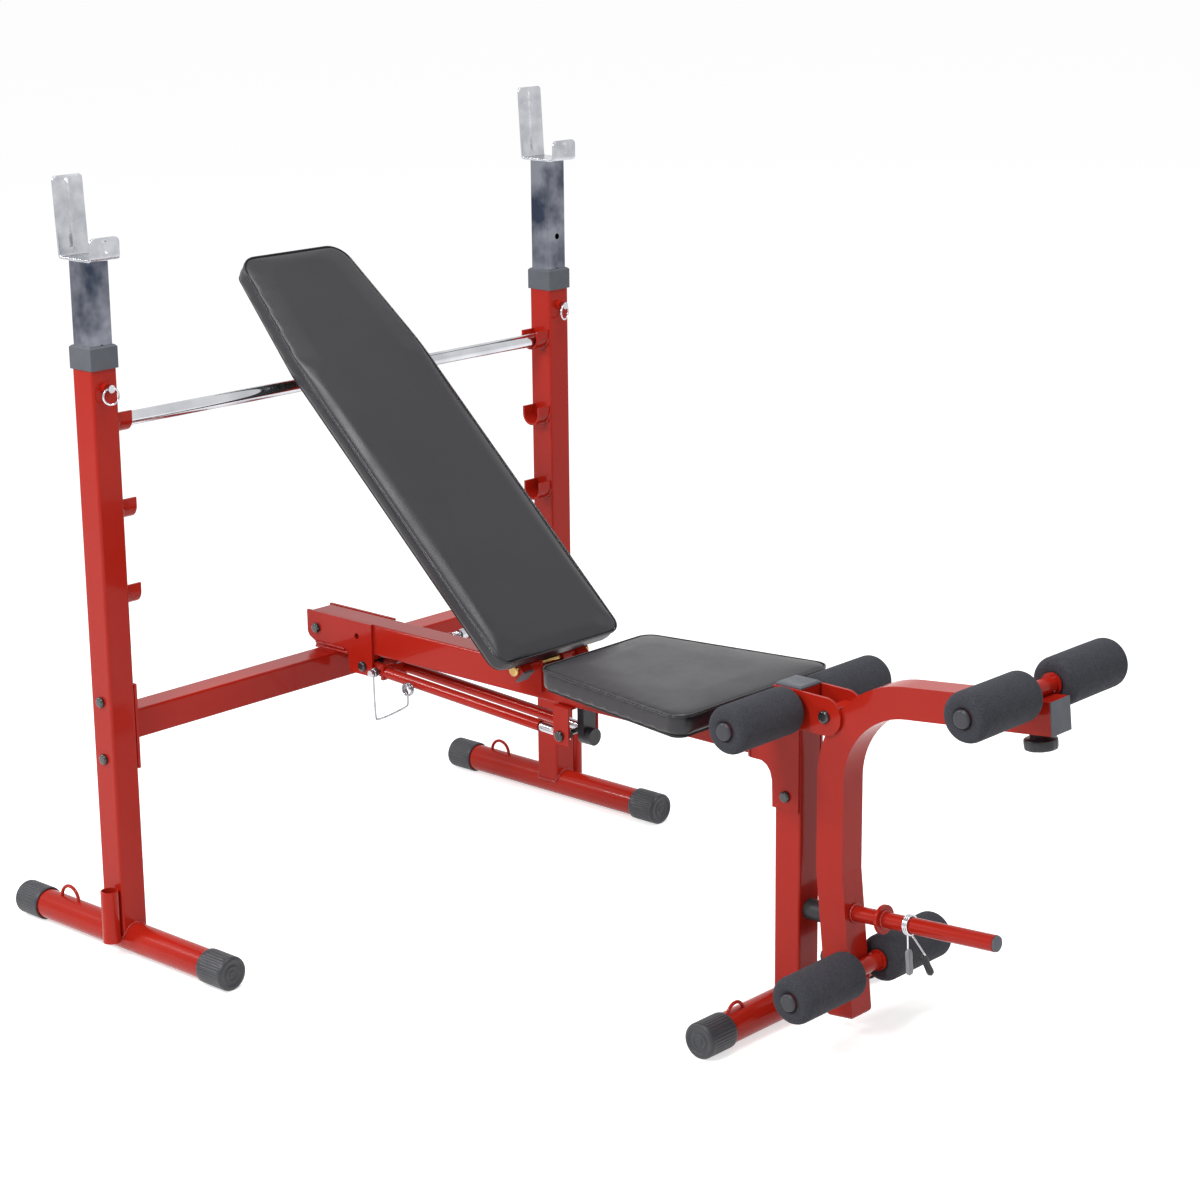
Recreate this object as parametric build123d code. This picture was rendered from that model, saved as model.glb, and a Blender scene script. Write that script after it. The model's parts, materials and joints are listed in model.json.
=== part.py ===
from build123d import *
from math import atan2, cos, degrees, radians, sin, tan
import os

os.makedirs("parts", exist_ok=True)

# Driving dimensions in mm. X runs across the bench, -Y towards the leg end, +Z up, floor at z = 0.
# Drawn with y = 0 at the uprights; everything is shifted along Y at export so that the origin is
# the centre of the footprint.
tube = 50.0  # side of the square frame tube
tube_wall = 2.5
tube_corner = 4.0
upright_spacing = 1057.0  # between the uprights' centres
upright_top = 1000.0
foot_r = 25.5  # round foot tubes
foot_cap_r = 29.0
foot_cap_length = 60.0
foot_half = 272.0  # rear feet, half length over the caps
front_foot_half = 238.0
collar_height = 30.0
collar_skirt = 8.0  # and how far it reaches down around the tube
collar_lip = 2.2  # how far the grey collar stands out past the tube
post_gap = 0.1  # sliding gap between post and upright, each side
post_top = 1166.0
post_length = 560.0
hole_pitch = 63.5  # between the posts' lock holes
holes_per_post = 5
raised_holes = 1  # the right post is one hole higher than the left
pin_r = 4.0
pin_z = upright_top - 37.5
first_hole = post_top - pin_z - hole_pitch  # from the post's top down to its first hole
running_gap = 0.05  # radial gap of a shaft that turns or slides in a hole
contact_gap = 0.2  # gap left where two moving parts rest on each other
catch_half = 29.0  # bar catch, half width
catch_plate = 4.0
catch_back_y = 38.0
catch_front_y = -44.0
catch_back_height = 132.0
catch_lip_height = 39.0
catch_lean = 3.5  # degrees, the tall wall leans back
cross_top = 412.0  # crossmember, set behind the uprights' centres
cross_y = 23.6
base_plate = 8.0  # between the crossmember and the rail
rail_height = 55.0
rail_rear_y = 70.0
leg_y = -1012.0  # centre of the front leg and the head tube
head_top = 543.0
leg_joint_z = 404.0
plate = 5.0  # bracket plates
seat_rear_y = -587.0
seat_front_y = -934.0
seat_rear_half = 132.0
seat_front_half = 190.0
pad_thickness = 33.0
board = 4.0
cross_flat = 5.0
back_angle = 43.0  # degrees, backrest above the horizontal
hinge_y = -485.3
hinge_rise = 0.7  # gap between the hinge bolt and the rail's top
hinge_r = 6.0
hinge_s = 5.0  # the hinge's place on the backrest, up from its lower edge
back_length = 875.0
back_half = 144.0
back_head_half = 117.0
back_taper_start = 640.0
back_tube = 25.0
back_tube_x = 68.0
bar_r = 12.5
cradle_inner_r = 16.5
cradle_plate = 4.0
cradle_width = 29.0
cradle_arm = 18.0  # from the bar's axis up to the cradle's lips
cradle_pitch = 143.0
cradles = 3
roller_tube_r = 12.5
foam_r = 38.0
foam_in = 36.0  # foam starts this far from the centre line
foam_out = 186.0
foam_gap = 0.3
arm_half = tube / 2 - 0.5  # leg developer tube, half width across, between its ears
arm_h = tube / 2  # half height in its own plane
arm_wall = 2.5
arm_foot_round = 9.0  # the arm's closed lower end
arm_bend = 150.0
arm_end_y = -1484.0
arm_slope = 5.95  # degrees, the upper arm rises towards its end
pivot_y = -1086.0
pivot_z = 512.0
weight_r = 12.5  # root of the weight post, where its clip sits
weight_outer_r = 13.0  # the stretch that carries the plates
weight_rise = 4.0  # degrees
strut_x = 24.0
strut_tube_r = 10.0
strut_rod_r = 8.0
bolt_r = 5.0

half_tube = tube / 2
upright_x = upright_spacing / 2
inner_face = upright_x - half_tube
outer_face = upright_x + half_tube
foot_z = foot_cap_r
post_side = tube - 2 * tube_wall - 2 * post_gap
rail_bottom = cross_top + base_plate
rail_top = rail_bottom + rail_height
leg_front = leg_y - half_tube
leg_rear = leg_y + half_tube
cap_face = 2.0
arm_rise = radians(arm_slope)
front_y = arm_end_y - cap_face * cos(arm_rise) - arm_h * sin(arm_rise)
shift_y = -(foot_half + front_y) / 2
bolt_gap = 0.3


def save(name, *solids):
    group = [s.moved(Location((0, shift_y, 0))) for s in solids]
    shape = group[0] if len(group) == 1 else Compound(children=group)
    export_step(shape, f"parts/{name}.step")
    print(name, round(sum(s.volume for s in group)))


def block(x0, x1, y0, y1, z0, z1):
    return Pos((x0 + x1) / 2, (y0 + y1) / 2, (z0 + z1) / 2) * Box(abs(x1 - x0), abs(y1 - y0), abs(z1 - z0))


def rod_x(x0, x1, y, z, r):
    return Pos((x0 + x1) / 2, y, z) * Rot(0, 90, 0) * Cylinder(r, abs(x1 - x0))


def rod_y(x, y0, y1, z, r):
    return Pos(x, (y0 + y1) / 2, z) * Rot(90, 0, 0) * Cylinder(r, abs(y1 - y0))


def rod_z(x, y, z0, z1, r):
    return Pos(x, y, (z0 + z1) / 2) * Cylinder(r, abs(z1 - z0))


def ring_x(x0, x1, y, z, r, hole):
    return rod_x(x0, x1, y, z, r) - rod_x(min(x0, x1) - 1, max(x0, x1) + 1, y, z, hole)


def square_tube(side_a, side_b, wall, length, corner=tube_corner):
    # centred on the origin, running along Z
    outer = extrude(RectangleRounded(side_a, side_b, corner), length / 2, both=True)
    inner = extrude(RectangleRounded(side_a - 2 * wall, side_b - 2 * wall, max(corner - wall, 0.8)),
                    length / 2 + 1, both=True)
    return outer - inner


def side_plate(points, x0, x1):
    # a plate cut to (y, z) points, x0 to x1 thick
    face = make_face(Polyline(*[(y, z) for y, z in points], close=True))
    solid = extrude(face, abs(x1 - x0))
    return Pos(min(x0, x1), 0, 0) * Rot(0, 90, 90) * solid


def mirrored(solid):
    return mirror(solid, Plane.YZ)


def button_bolt(x_head, x_end, y, z, head_r=9.0, head=6.0, r=bolt_r):
    # head at x_head, shank along X to x_end
    way = 1 if x_end > x_head else -1
    cap = Pos(x_head - way * head / 2, y, z) * Rot(0, 90, 0) * Cylinder(head_r, head)
    rim = cap.edges().filter_by(GeomType.CIRCLE).sort_by(Axis.X)
    cap = fillet(rim[0] if way > 0 else rim[-1], head * 0.6)
    return cap + rod_x(x_head, x_end, y, z, r)


def half_ring(x, y, z, r, wire, along):
    # wire loop standing on a foot tube, its legs sunk to the tube's axis level
    turn = Rot(90, 0, 0) if along == "x" else Rot(0, 90, 0)
    arc = Pos(x, y, z) * turn * Torus(r, wire)
    keep = block(x - 2 * r, x + 2 * r, y - 2 * r, y + 2 * r, z, z + 2 * r)
    loop = arc & keep
    for way in (-1, 1):
        px = x + way * r if along == "x" else x
        py = y if along == "x" else y + way * r
        loop += rod_z(px, py, z - 12, z + 0.01, wire)
    return loop


# the backrest's layers, its hinge and the rest bar under it, which set the cradles' height
pad_back = -(pad_thickness + board)
tube_back = pad_back - back_tube
hinge_n = tube_back + back_tube / 2
hinge_z = rail_top + hinge_r + hinge_rise
lean = radians(back_angle)
back_y = hinge_y - hinge_s * cos(lean) + hinge_n * sin(lean)  # lower front edge of the backrest
back_z = hinge_z - hinge_s * sin(lean) - hinge_n * cos(lean)
bar_n = tube_back - contact_gap - bar_r
bar_z = back_z + (-back_y * sin(lean) + bar_n) / cos(lean)
cradle_outer_r = cradle_inner_r + cradle_plate
cradle_bottom_drop = bar_r + contact_gap - cradle_inner_r  # trough centre above the bar's axis


# uprights, each with its bar cradles and lock pin barrel
def cradle(level):
    x0, x1 = inner_face - cradle_width, inner_face
    zc = level - cradle_bottom_drop
    top = level + cradle_arm
    outer = rod_x(x0, x1, 0, zc, cradle_outer_r) + block(x0, x1, -cradle_outer_r, cradle_outer_r, zc, top)
    outer &= block(x0, x1, -cradle_outer_r, cradle_outer_r, zc - cradle_outer_r, top)
    inner = rod_x(x0 - 1, x1 + 1, 0, zc, cradle_inner_r)
    inner += block(x0 - 1, x1 + 1, -cradle_inner_r, cradle_inner_r, zc, top + 1)
    return outer - inner


foot_saddle = rod_y(upright_x, -80, 80, foot_z, foot_r)
barrel_length = 8.0
upright = Pos(upright_x, 0, (foot_z + upright_top) / 2) * square_tube(tube, tube, tube_wall,
                                                                      upright_top - foot_z)
upright -= foot_saddle
upright += rod_y(upright_x, -half_tube - barrel_length, -half_tube, pin_z, 8.5)
upright -= rod_y(upright_x, -half_tube - barrel_length - 1, -15, pin_z, pin_r + running_gap)
for i in range(cradles):
    upright += cradle(bar_z - i * cradle_pitch)
cross_bolt_z = [343.0, 441.0]
for z in cross_bolt_z:
    upright -= rod_x(inner_face - 1, outer_face + 1, 0, z, bolt_r + bolt_gap)
save("upright_right", upright)
save("upright_left", mirrored(upright))

# rear feet: round tube, wire loop and open pipe socket beside the upright
socket_r = 15.0
socket_x = outer_face + socket_r
socket_y = -12.0
socket_top = 120.0
rear_foot = rod_y(upright_x, -foot_half + 4, foot_half - 4, foot_z, foot_r)
rear_foot += half_ring(upright_x, 150, foot_z + foot_r - 1, 22.5, 3.0, "y")
rear_foot -= rod_y(upright_x, -foot_half, foot_half, foot_z, foot_r - tube_wall)
save("rear_foot_right", rear_foot)
save("rear_foot_left", mirrored(rear_foot))
socket = rod_z(socket_x, socket_y, foot_z + 1, socket_top, socket_r)
socket -= rod_y(upright_x, -foot_half, foot_half, foot_z, foot_r)
socket -= rod_z(socket_x, socket_y, 46, socket_top + 1, socket_r - tube_wall)
save("pipe_sockets", socket, mirrored(socket))

# crossmember with end plates, bolted between the uprights
end_plate_low, end_plate_high = 320.0, 465.0
cross_z = cross_top - half_tube
cross = Pos(0, cross_y, cross_z) * Rot(0, 90, 0) * square_tube(tube, tube, tube_wall, 2 * (inner_face - plate))
for way in (-1, 1):
    x0, x1 = way * (inner_face - plate), way * inner_face
    end = block(x0, x1, -half_tube, cross_y + half_tube, end_plate_low, end_plate_high)
    for z in cross_bolt_z:
        end -= rod_x(x0 - 6, x1 + 6, 0, z, bolt_r + bolt_gap)
    cross += end
save("crossmember", cross)

bolts = []
for way in (-1, 1):
    for z in cross_bolt_z:
        bolt = button_bolt(way * outer_face, way * (inner_face - plate - 9), 0, z)
        nut_a = way * (inner_face - plate)
        bolt += rod_x(nut_a, nut_a - way * 8, 0, z, 8.5)
        bolts.append(bolt)
save("crossmember_bolts", *bolts)

# rear bracket: two plates welded on the crossmember that hold the rail
rear_pivot = (54.0, 446.0)
pin_hole = (-50.0, 449.0)
pin_hole_r = 5.5
strut_rear = (-64.0, 397.0)
strut_front = (-543.0, 370.0)
bracket_rear = rail_rear_y + 8
bracket_front = -88.0
bracket_base_y = [-20.0, 57.0]
cheek = [(bracket_rear, rail_top + 1), (bracket_rear, 436), (bracket_rear - 5, 428),
         (bracket_base_y[1], rail_bottom), (bracket_base_y[0], rail_bottom), (bracket_base_y[0] - 6, 415),
         (-31, 381), (bracket_front + 4, 381), (bracket_front, 385), (bracket_front, rail_top + 1)]
rear_bracket = block(-half_tube - plate, half_tube + plate, *bracket_base_y, cross_top, rail_bottom)
for way in (-1, 1):
    side = side_plate(cheek, way * half_tube, way * (half_tube + plate))
    side -= rod_x(way * 20, way * 40, rear_pivot[0], rear_pivot[1], bolt_r + bolt_gap)
    side -= rod_x(way * 20, way * 40, strut_rear[0], strut_rear[1], bolt_r + bolt_gap)
    side -= rod_x(way * 20, way * 40, pin_hole[0], pin_hole[1], pin_hole_r)
    rear_bracket += side
save("rear_bracket", rear_bracket)

# main rail with seat flats, backrest ears and the strut's front bracket
ear_r = 11.0
rail_mid = (rail_rear_y + leg_rear) / 2
rail = Pos(0, rail_mid, (rail_bottom + rail_top) / 2) * Rot(90, 0, 0) * square_tube(
    tube, rail_height, tube_wall, rail_rear_y - leg_rear)
plunger_y, plunger_z, plunger_r = -222.0, 465.0, 3.5
plunger_barrel = 8.0
rail -= rod_x(15, 40, plunger_y, plunger_z, plunger_r + running_gap)
rail -= rod_x(-40, 40, rear_pivot[0], rear_pivot[1], bolt_r + bolt_gap)
rail -= rod_x(-40, 40, pin_hole[0], pin_hole[1], pin_hole_r)
seat_flat_y = [seat_rear_y - 60, seat_front_y + 55]
seat_screw_x = 85.0
for y in seat_flat_y:
    flat = block(-seat_screw_x - 18, seat_screw_x + 18, y - 17, y + 17, rail_top, rail_top + cross_flat)
    for way in (-1, 1):
        flat -= rod_z(way * seat_screw_x, y, rail_top - 1, rail_top + 9, 3.3)
    rail += flat
for way in (-1, 1):
    x0, x1 = way * half_tube, way * (half_tube + plate)
    ear = block(x0, x1, hinge_y - ear_r, hinge_y + ear_r, rail_bottom + 14, hinge_z)
    ear += rod_x(x0, x1, hinge_y, hinge_z, ear_r)
    rail += ear
rail += ring_x(half_tube - 0.5, half_tube + plunger_barrel, plunger_y, plunger_z, 8.5, plunger_r + running_gap)
for way in (-1, 1):
    rail -= rod_x(way * (half_tube - 0.5), way * 40, hinge_y, hinge_z, hinge_r + bolt_gap)
hanger_x = strut_x + strut_rod_r + 1
hanger_low = strut_front[1] - 15
for way in (-1, 1):
    rail += block(way * hanger_x, way * (hanger_x + 4), strut_front[0] - 19, strut_front[0] + 15,
                  hanger_low, rail_bottom)
rail += block(-hanger_x - 4, hanger_x + 4, strut_front[0] - 19, strut_front[0] + 15,
              rail_bottom - 4, rail_bottom)
rail -= rod_x(-60, 60, strut_front[0], strut_front[1], bolt_r + bolt_gap)
save("main_rail", rail)

half_bracket = half_tube + plate
rear_bolt = button_bolt(-half_bracket, half_bracket + 9, *rear_pivot)
rear_bolt += rod_x(half_bracket, half_bracket + 8, rear_pivot[0], rear_pivot[1], 8.5)
yoke_bolt = button_bolt(-half_bracket, half_bracket + 9, *strut_rear)
yoke_bolt += rod_x(half_bracket, half_bracket + 8, strut_rear[0], strut_rear[1], 8.5)
hang_half = hanger_x + 4
front_strut_bolt = button_bolt(-hang_half, hang_half + 9, *strut_front)
front_strut_bolt += rod_x(hang_half, hang_half + 8, strut_front[0], strut_front[1], 8.5)
leg_bolt_z = 368.0
leg_bolt = button_bolt(-half_bracket, half_bracket + 9, leg_y, leg_bolt_z)
leg_bolt += rod_x(half_bracket, half_bracket + 8, leg_y, leg_bolt_z, 8.5)
save("frame_bolts", rear_bolt, yoke_bolt, front_strut_bolt, leg_bolt)

# twin telescoping strut under the rail, drawn along -Y from its rear eye, then tipped into place
drop = strut_rear[1] - strut_front[1]
run = strut_rear[0] - strut_front[0]
strut_length = (drop ** 2 + run ** 2) ** 0.5
strut_angle = atan2(drop, run)
strut_place = Pos(0, *strut_rear) * Rot(degrees(strut_angle), 0, 0)
yoke_front = 50.0
wire_pin_at = 40.0
wire_pin_r = 4.0
strut_tube_end = 425.0
strut_tubes = block(-strut_x - strut_tube_r, strut_x + strut_tube_r, -yoke_front - 6, -yoke_front, -12, 12)
for way in (-1, 1):
    strut_tubes += block(way * (half_tube - 9), way * (half_tube - 1), -yoke_front, 12, -11, 11)
    leg = rod_y(way * strut_x, -strut_tube_end, -yoke_front - 5, 0, strut_tube_r)
    leg -= rod_y(way * strut_x, -strut_tube_end - 1, -yoke_front - 8, 0, strut_rod_r + bolt_gap)
    strut_tubes += leg
strut_tubes -= rod_x(-60, 60, 0, 0, bolt_r + bolt_gap)
strut_tubes -= rod_x(-60, 60, -wire_pin_at, 0, wire_pin_r + running_gap)
save("strut_tubes", strut_place * strut_tubes)
strut_rods = []
for way in (-1, 1):
    rod = rod_y(way * strut_x, -strut_length - 10, -210, 0, strut_rod_r)
    rod -= rod_x(-60, 60, -strut_length, 0, bolt_r + bolt_gap)
    strut_rods.append(strut_place * rod)
save("strut_rods", *strut_rods)
stop_y = strut_front[0] - 19
stop_r = 14.5
stop_z = hanger_low + 13
strut_stop = block(-stop_r, stop_r, stop_y - 14, stop_y, stop_z, rail_bottom)
strut_stop += rod_y(0, stop_y - 26, stop_y, stop_z, stop_r)
save("strut_stop", strut_stop)

# wire-lock pin through the strut's yoke, with its wire bail
wire_y = strut_rear[0] - wire_pin_at * cos(strut_angle)
wire_z = strut_rear[1] - wire_pin_at * sin(strut_angle)
bail_x = -half_tube - 19
wire_pin = rod_x(bail_x - 3, half_tube + 8, wire_y, wire_z, wire_pin_r)
wire_pin += rod_x(bail_x + 5, bail_x + 9, wire_y, wire_z, 8)
wire_pin += rod_x(bail_x - 7, bail_x - 3, wire_y, wire_z, 6)
save("wire_pin", wire_pin)
wire_r = 1.8
bail = Pos(bail_x + 1, wire_y, wire_z) * Rot(0, 90, 0) * Torus(wire_pin_r + wire_r + 0.3, wire_r)
bail_points = [(wire_y, wire_z - wire_pin_r - wire_r - 0.3), (wire_y - 3, wire_z - 78), (wire_y - 86, wire_z - 37)]
for (ya, za), (yb, zb) in zip(bail_points, bail_points[1:]):
    path = Line((bail_x + 1, ya, za), (bail_x + 1, yb, zb))
    bail += sweep(Plane(path @ 0, z_dir=path % 0) * Circle(wire_r), path)
    bail += Pos(bail_x + 1, yb, zb) * Sphere(wire_r)
coil_r = 9.0
for i in range(2):
    bail += Pos(bail_x + 1 - i * 3.0, wire_y - 92, wire_z - 30) * Rot(0, 90, 0) * Torus(coil_r, wire_r)
save("wire_bail", bail)

# spring plunger on the rail's far side
plunger_spring_end = half_tube + plunger_barrel + 19
coil_wire = 1.3
coil_mid = plunger_r + coil_wire + 1.2
coil_path = Helix(pitch=4.0, height=16.0, radius=coil_mid)
coil = sweep(Plane(coil_path @ 0, z_dir=coil_path % 0) * Circle(coil_wire), coil_path)
coil = Pos(half_tube + plunger_barrel + coil_wire + 0.1, plunger_y, plunger_z) * Rot(0, 90, 0) * coil
save("plunger_spring", coil)
plunger = rod_x(half_tube - 8, plunger_spring_end + 12, plunger_y, plunger_z, plunger_r)
plunger += rod_x(plunger_spring_end + 2, plunger_spring_end + 16, plunger_y, plunger_z, 9)
save("plunger_pin", plunger)

# head bracket: vertical socket tube with cheeks that take the leg and form the developer's ears
socket_z = (leg_joint_z + head_top) / 2
head = Pos(0, leg_y, socket_z) * square_tube(tube, tube, tube_wall, head_top - leg_joint_z)
ear_big = 30.0
leg_plate_low = 346.0
roller_seat = (-1020.0, 513.0)
fillet_steps = [(-964, rail_bottom - 3), (-974, rail_bottom - 8), (-981, rail_bottom - 17), (-985, rail_bottom - 31)]
cheek_points = [(-940, rail_top), (-940, rail_bottom - 3)] + fillet_steps + [
    (leg_rear + 1, leg_plate_low), (leg_front, leg_plate_low), (leg_front, pivot_z - ear_big),
    (pivot_y, pivot_z - ear_big), (pivot_y, pivot_z + ear_big), (leg_front, head_top),
    (leg_rear, head_top), (leg_rear, rail_top)]
for way in (-1, 1):
    x0, x1 = way * half_tube, way * (half_tube + plate)
    side = side_plate(cheek_points, x0, x1) + rod_x(x0, x1, pivot_y, pivot_z, ear_big)
    head += side
head -= rod_x(-60, 60, pivot_y, pivot_z, bolt_r + 1 + running_gap)
head -= rod_x(-60, 60, roller_seat[0], roller_seat[1], roller_tube_r + running_gap)
head -= rod_x(-60, 60, leg_y, leg_bolt_z, bolt_r + bolt_gap)
save("head_bracket", head)

plug_insert = square_tube(tube - 2 * tube_wall - 0.4, tube - 2 * tube_wall - 0.4, 3, 12, 2)
plug = Pos(0, leg_y, head_top - 6) * plug_insert
plug_top = Pos(0, leg_y, head_top + 2.5) * Box(tube, tube, 5)
plug_top = chamfer(plug_top.faces().sort_by(Axis.Z)[-1].edges(), 2.5)
save("head_plug", plug + plug_top)

leg = Pos(0, leg_y, (foot_z + leg_joint_z) / 2) * square_tube(tube, tube, tube_wall, leg_joint_z - foot_z)
leg -= rod_x(-60, 60, leg_y, foot_z, foot_r)
leg -= rod_x(-60, 60, leg_y, leg_bolt_z, bolt_r + bolt_gap)
save("front_leg", leg)

front_foot = rod_x(-front_foot_half + 4, front_foot_half - 4, leg_y, foot_z, foot_r)
front_foot += half_ring(-154, leg_y - 3, foot_z + foot_r - 6, 19.0, 2.8, "x")
front_foot -= rod_x(-front_foot_half, front_foot_half, leg_y, foot_z, foot_r - tube_wall)
save("front_foot", front_foot)


def foot_cap():
    # cup that closes a foot tube, drawn along +Z with its closed face at z = 0
    cup = Pos(0, 0, foot_cap_length / 2) * Cylinder(foot_cap_r, foot_cap_length)
    cup = fillet(cup.edges().sort_by(Axis.Z)[0], 3)
    cup -= Pos(0, 0, 4 + foot_cap_length / 2) * Cylinder(foot_r, foot_cap_length)
    cup -= Pos(0, 0, 0.5) * (Cylinder(18, 1) - Cylinder(14, 1))
    return cup


caps = []
for x in (-upright_x, upright_x):
    caps.append(Pos(x, -foot_half, foot_z) * Rot(-90, 0, 0) * foot_cap())
    caps.append(Pos(x, foot_half, foot_z) * Rot(90, 0, 0) * foot_cap())
caps.append(Pos(-front_foot_half, leg_y, foot_z) * Rot(0, 90, 0) * foot_cap())
caps.append(Pos(front_foot_half, leg_y, foot_z) * Rot(0, -90, 0) * foot_cap())
save("foot_caps", *caps)

# grey collars on the uprights' tops that guide the posts
collars = []
for way in (-1, 1):
    outer_side = tube + 2 * collar_lip
    sleeve = block(way * upright_x - outer_side / 2, way * upright_x + outer_side / 2, -outer_side / 2,
                   outer_side / 2, upright_top - collar_skirt, upright_top + collar_height)
    sleeve = chamfer(sleeve.faces().sort_by(Axis.Z)[-1].edges(), collar_lip + 1)
    sleeve -= Pos(way * upright_x, 0, upright_top - 10) * Box(tube, tube, 20)
    sleeve -= Pos(way * upright_x, 0, upright_top) * Box(post_side + 2 * post_gap, post_side + 2 * post_gap, 90)
    collars.append(sleeve)
save("post_collars", *collars)


# telescoping posts and the bar catches on top of them
def post(x, lift):
    top = post_top + lift
    body = Pos(x, 0, top - post_length / 2) * square_tube(post_side, post_side, 2.5, post_length, 3)
    for i in range(holes_per_post):
        body -= rod_y(x, -40, 0, top - first_hole - i * hole_pitch, 5.5)
    return body


def catch(x, lift):
    floor = post_top + lift
    inner_y = catch_front_y + catch_plate
    tray = block(x - catch_half, x + catch_half, catch_front_y, catch_back_y, floor, floor + catch_plate)
    lip = block(x - catch_half, x + catch_half, catch_front_y, inner_y, floor, floor + catch_lip_height)
    lip = fillet(lip.edges().filter_by(Axis.Y).group_by(Axis.Z)[-1], 9)
    wall = block(x - catch_half, x + catch_half, 0, catch_plate, 0, catch_back_height)
    wall = fillet(wall.edges().filter_by(Axis.Y).group_by(Axis.Z)[-1], 5)
    wall += block(x - 4, x + 4, -1.5, 0, 14, catch_back_height - 3)
    wall = Pos(0, catch_back_y - catch_plate, floor) * Rot(-catch_lean, 0, 0) * wall
    rib = block(x - 4, x + 4, inner_y, inner_y + 1.5, floor + 10, floor + catch_lip_height - 3)
    body = tray + lip + wall + rib
    return body - rod_y(x, catch_front_y - 1, inner_y + 2, floor + 9, 2.8)


for name, way, lift in (("left", -1, 0.0), ("right", 1, raised_holes * hole_pitch)):
    save(f"post_{name}", post(way * upright_x, lift))
    save(f"catch_{name}", catch(way * upright_x, lift))

# lock pins with pull rings, on the front faces of the uprights
pin_tip = -post_side / 2 - contact_gap
pin_head = -half_tube - barrel_length
for name, way in (("left", -1), ("right", 1)):
    x = way * upright_x
    pin = rod_y(x, pin_head - 9, pin_tip, pin_z, pin_r)
    pin += rod_y(x, pin_head - 9, pin_head - 2, pin_z, 6.5)
    pin += Pos(x, pin_head - 6, pin_z - 12) * Rot(90, 0, 0) * Rot(0, 15 * way, 0) * Torus(13.5, 1.7)
    save(f"lock_pin_{name}", pin)

# rest bar in the top cradles
bar_half = inner_face - 4
rest_bar = rod_x(-bar_half, bar_half, 0, bar_z, bar_r) - rod_x(-bar_half - 1, bar_half + 1, 0, bar_z, bar_r - 2)
save("rest_bar", rest_bar)
plugs = []
for way in (-1, 1):
    stopper = rod_x(way * (bar_half - 15), way * bar_half, 0, bar_z, bar_r - 2)
    plugs.append(stopper + rod_x(way * bar_half, way * (bar_half + 2), 0, bar_z, bar_r - 0.5))
save("bar_plugs", *plugs)


# seat: a cushion, wider at the front, on a board
def pad_solid(outline, low, high, corner_r, edge_r):
    face = make_face(Polyline(*outline, close=True))
    face = round_ends(face, corner_r)
    solid = Pos(0, 0, low) * extrude(face, high - low)
    top = solid.faces().sort_by(Axis.Z)[-1]
    return fillet(top.edges(), edge_r)


def round_ends(face, corner_r):
    ys = sorted({round(v.Y, 3) for v in face.vertices()})
    ends = [v for v in face.vertices() if round(v.Y, 3) in (ys[0], ys[-1])]
    face = fillet(ends, corner_r)
    return face


seat_outline = [(-seat_rear_half, seat_rear_y), (seat_rear_half, seat_rear_y),
                (seat_front_half, seat_front_y), (-seat_front_half, seat_front_y)]
seat_low = rail_top + cross_flat
seat_pad = pad_solid(seat_outline, seat_low + board, seat_low + board + pad_thickness, 22, 5)
save("seat_pad", seat_pad)
inset = 6.0
board_outline = [(-seat_rear_half + inset, seat_rear_y - inset), (seat_rear_half - inset, seat_rear_y - inset),
                 (seat_front_half - inset, seat_front_y + inset), (-seat_front_half + inset, seat_front_y + inset)]
seat_board = Pos(0, 0, seat_low) * extrude(fillet(make_face(Polyline(*board_outline, close=True)).vertices(), 18),
                                           board)
for y in seat_flat_y:
    for way in (-1, 1):
        seat_board -= rod_z(way * seat_screw_x, y, seat_low - 1, seat_low + 9, 3.3)
save("seat_board", seat_board)
seat_screws = []
for y in seat_flat_y:
    for way in (-1, 1):
        screw = rod_z(way * seat_screw_x, y, rail_top - 4, rail_top, 6.5)
        seat_screws.append(screw + rod_z(way * seat_screw_x, y, rail_top, seat_low + board - 0.2, 3))
save("seat_screws", *seat_screws)

# backrest, drawn flat with s along Y and n along Z, then tipped back
back_place = Pos(0, back_y, back_z) * Rot(back_angle, 0, 0)
back_outline = [(-back_half, 0), (back_half, 0), (back_half, back_taper_start), (back_head_half, back_length),
                (-back_head_half, back_length), (-back_half, back_taper_start)]
back_pad = pad_solid(back_outline, pad_back + board, 0, 26, 5)
save("back_pad", back_place * back_pad)
back_board_outline = [(-back_half + inset, inset), (back_half - inset, inset), (back_half - inset, back_taper_start),
                      (back_head_half - inset, back_length - inset), (-back_head_half + inset, back_length - inset),
                      (-back_half + inset, back_taper_start)]
back_board = Pos(0, 0, pad_back) * extrude(round_ends(make_face(Polyline(*back_board_outline, close=True)), 22), board)
back_screw_s = [120.0, 430.0, 700.0]
for s in back_screw_s:
    for way in (-1, 1):
        back_board -= rod_z(way * back_tube_x, s, pad_back - 1, 0, 3.3)
save("back_board", back_place * back_board)
tube_low, tube_high = -9.0, 765.0
back_tubes = []
back_bars = []
for way in (-1, 1):
    beam = Pos(way * back_tube_x, (tube_low + tube_high) / 2, hinge_n) * Rot(90, 0, 0) * square_tube(
        back_tube, back_tube, 2, tube_high - tube_low, 2)
    beam -= rod_x(-90, 90, hinge_s, hinge_n, hinge_r + running_gap)
    for s in back_screw_s:
        beam -= rod_z(way * back_tube_x, s, tube_back - 1, pad_back + 1, 3.3)
    back_tubes.append(back_place * beam)
    sleeve = ring_x(way * (half_tube + plate + bolt_gap), way * (back_tube_x - back_tube / 2), hinge_s, hinge_n,
                    10, hinge_r + running_gap)
    back_bars.append(back_place * sleeve)
save("back_tubes", *back_tubes)
bar_reach = back_tube_x - back_tube / 2
for s in (300.0, 720.0):
    back_bars.append(back_place * block(-bar_reach, bar_reach, s - 12.5, s + 12.5, hinge_n - 10, hinge_n + 10))
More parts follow.
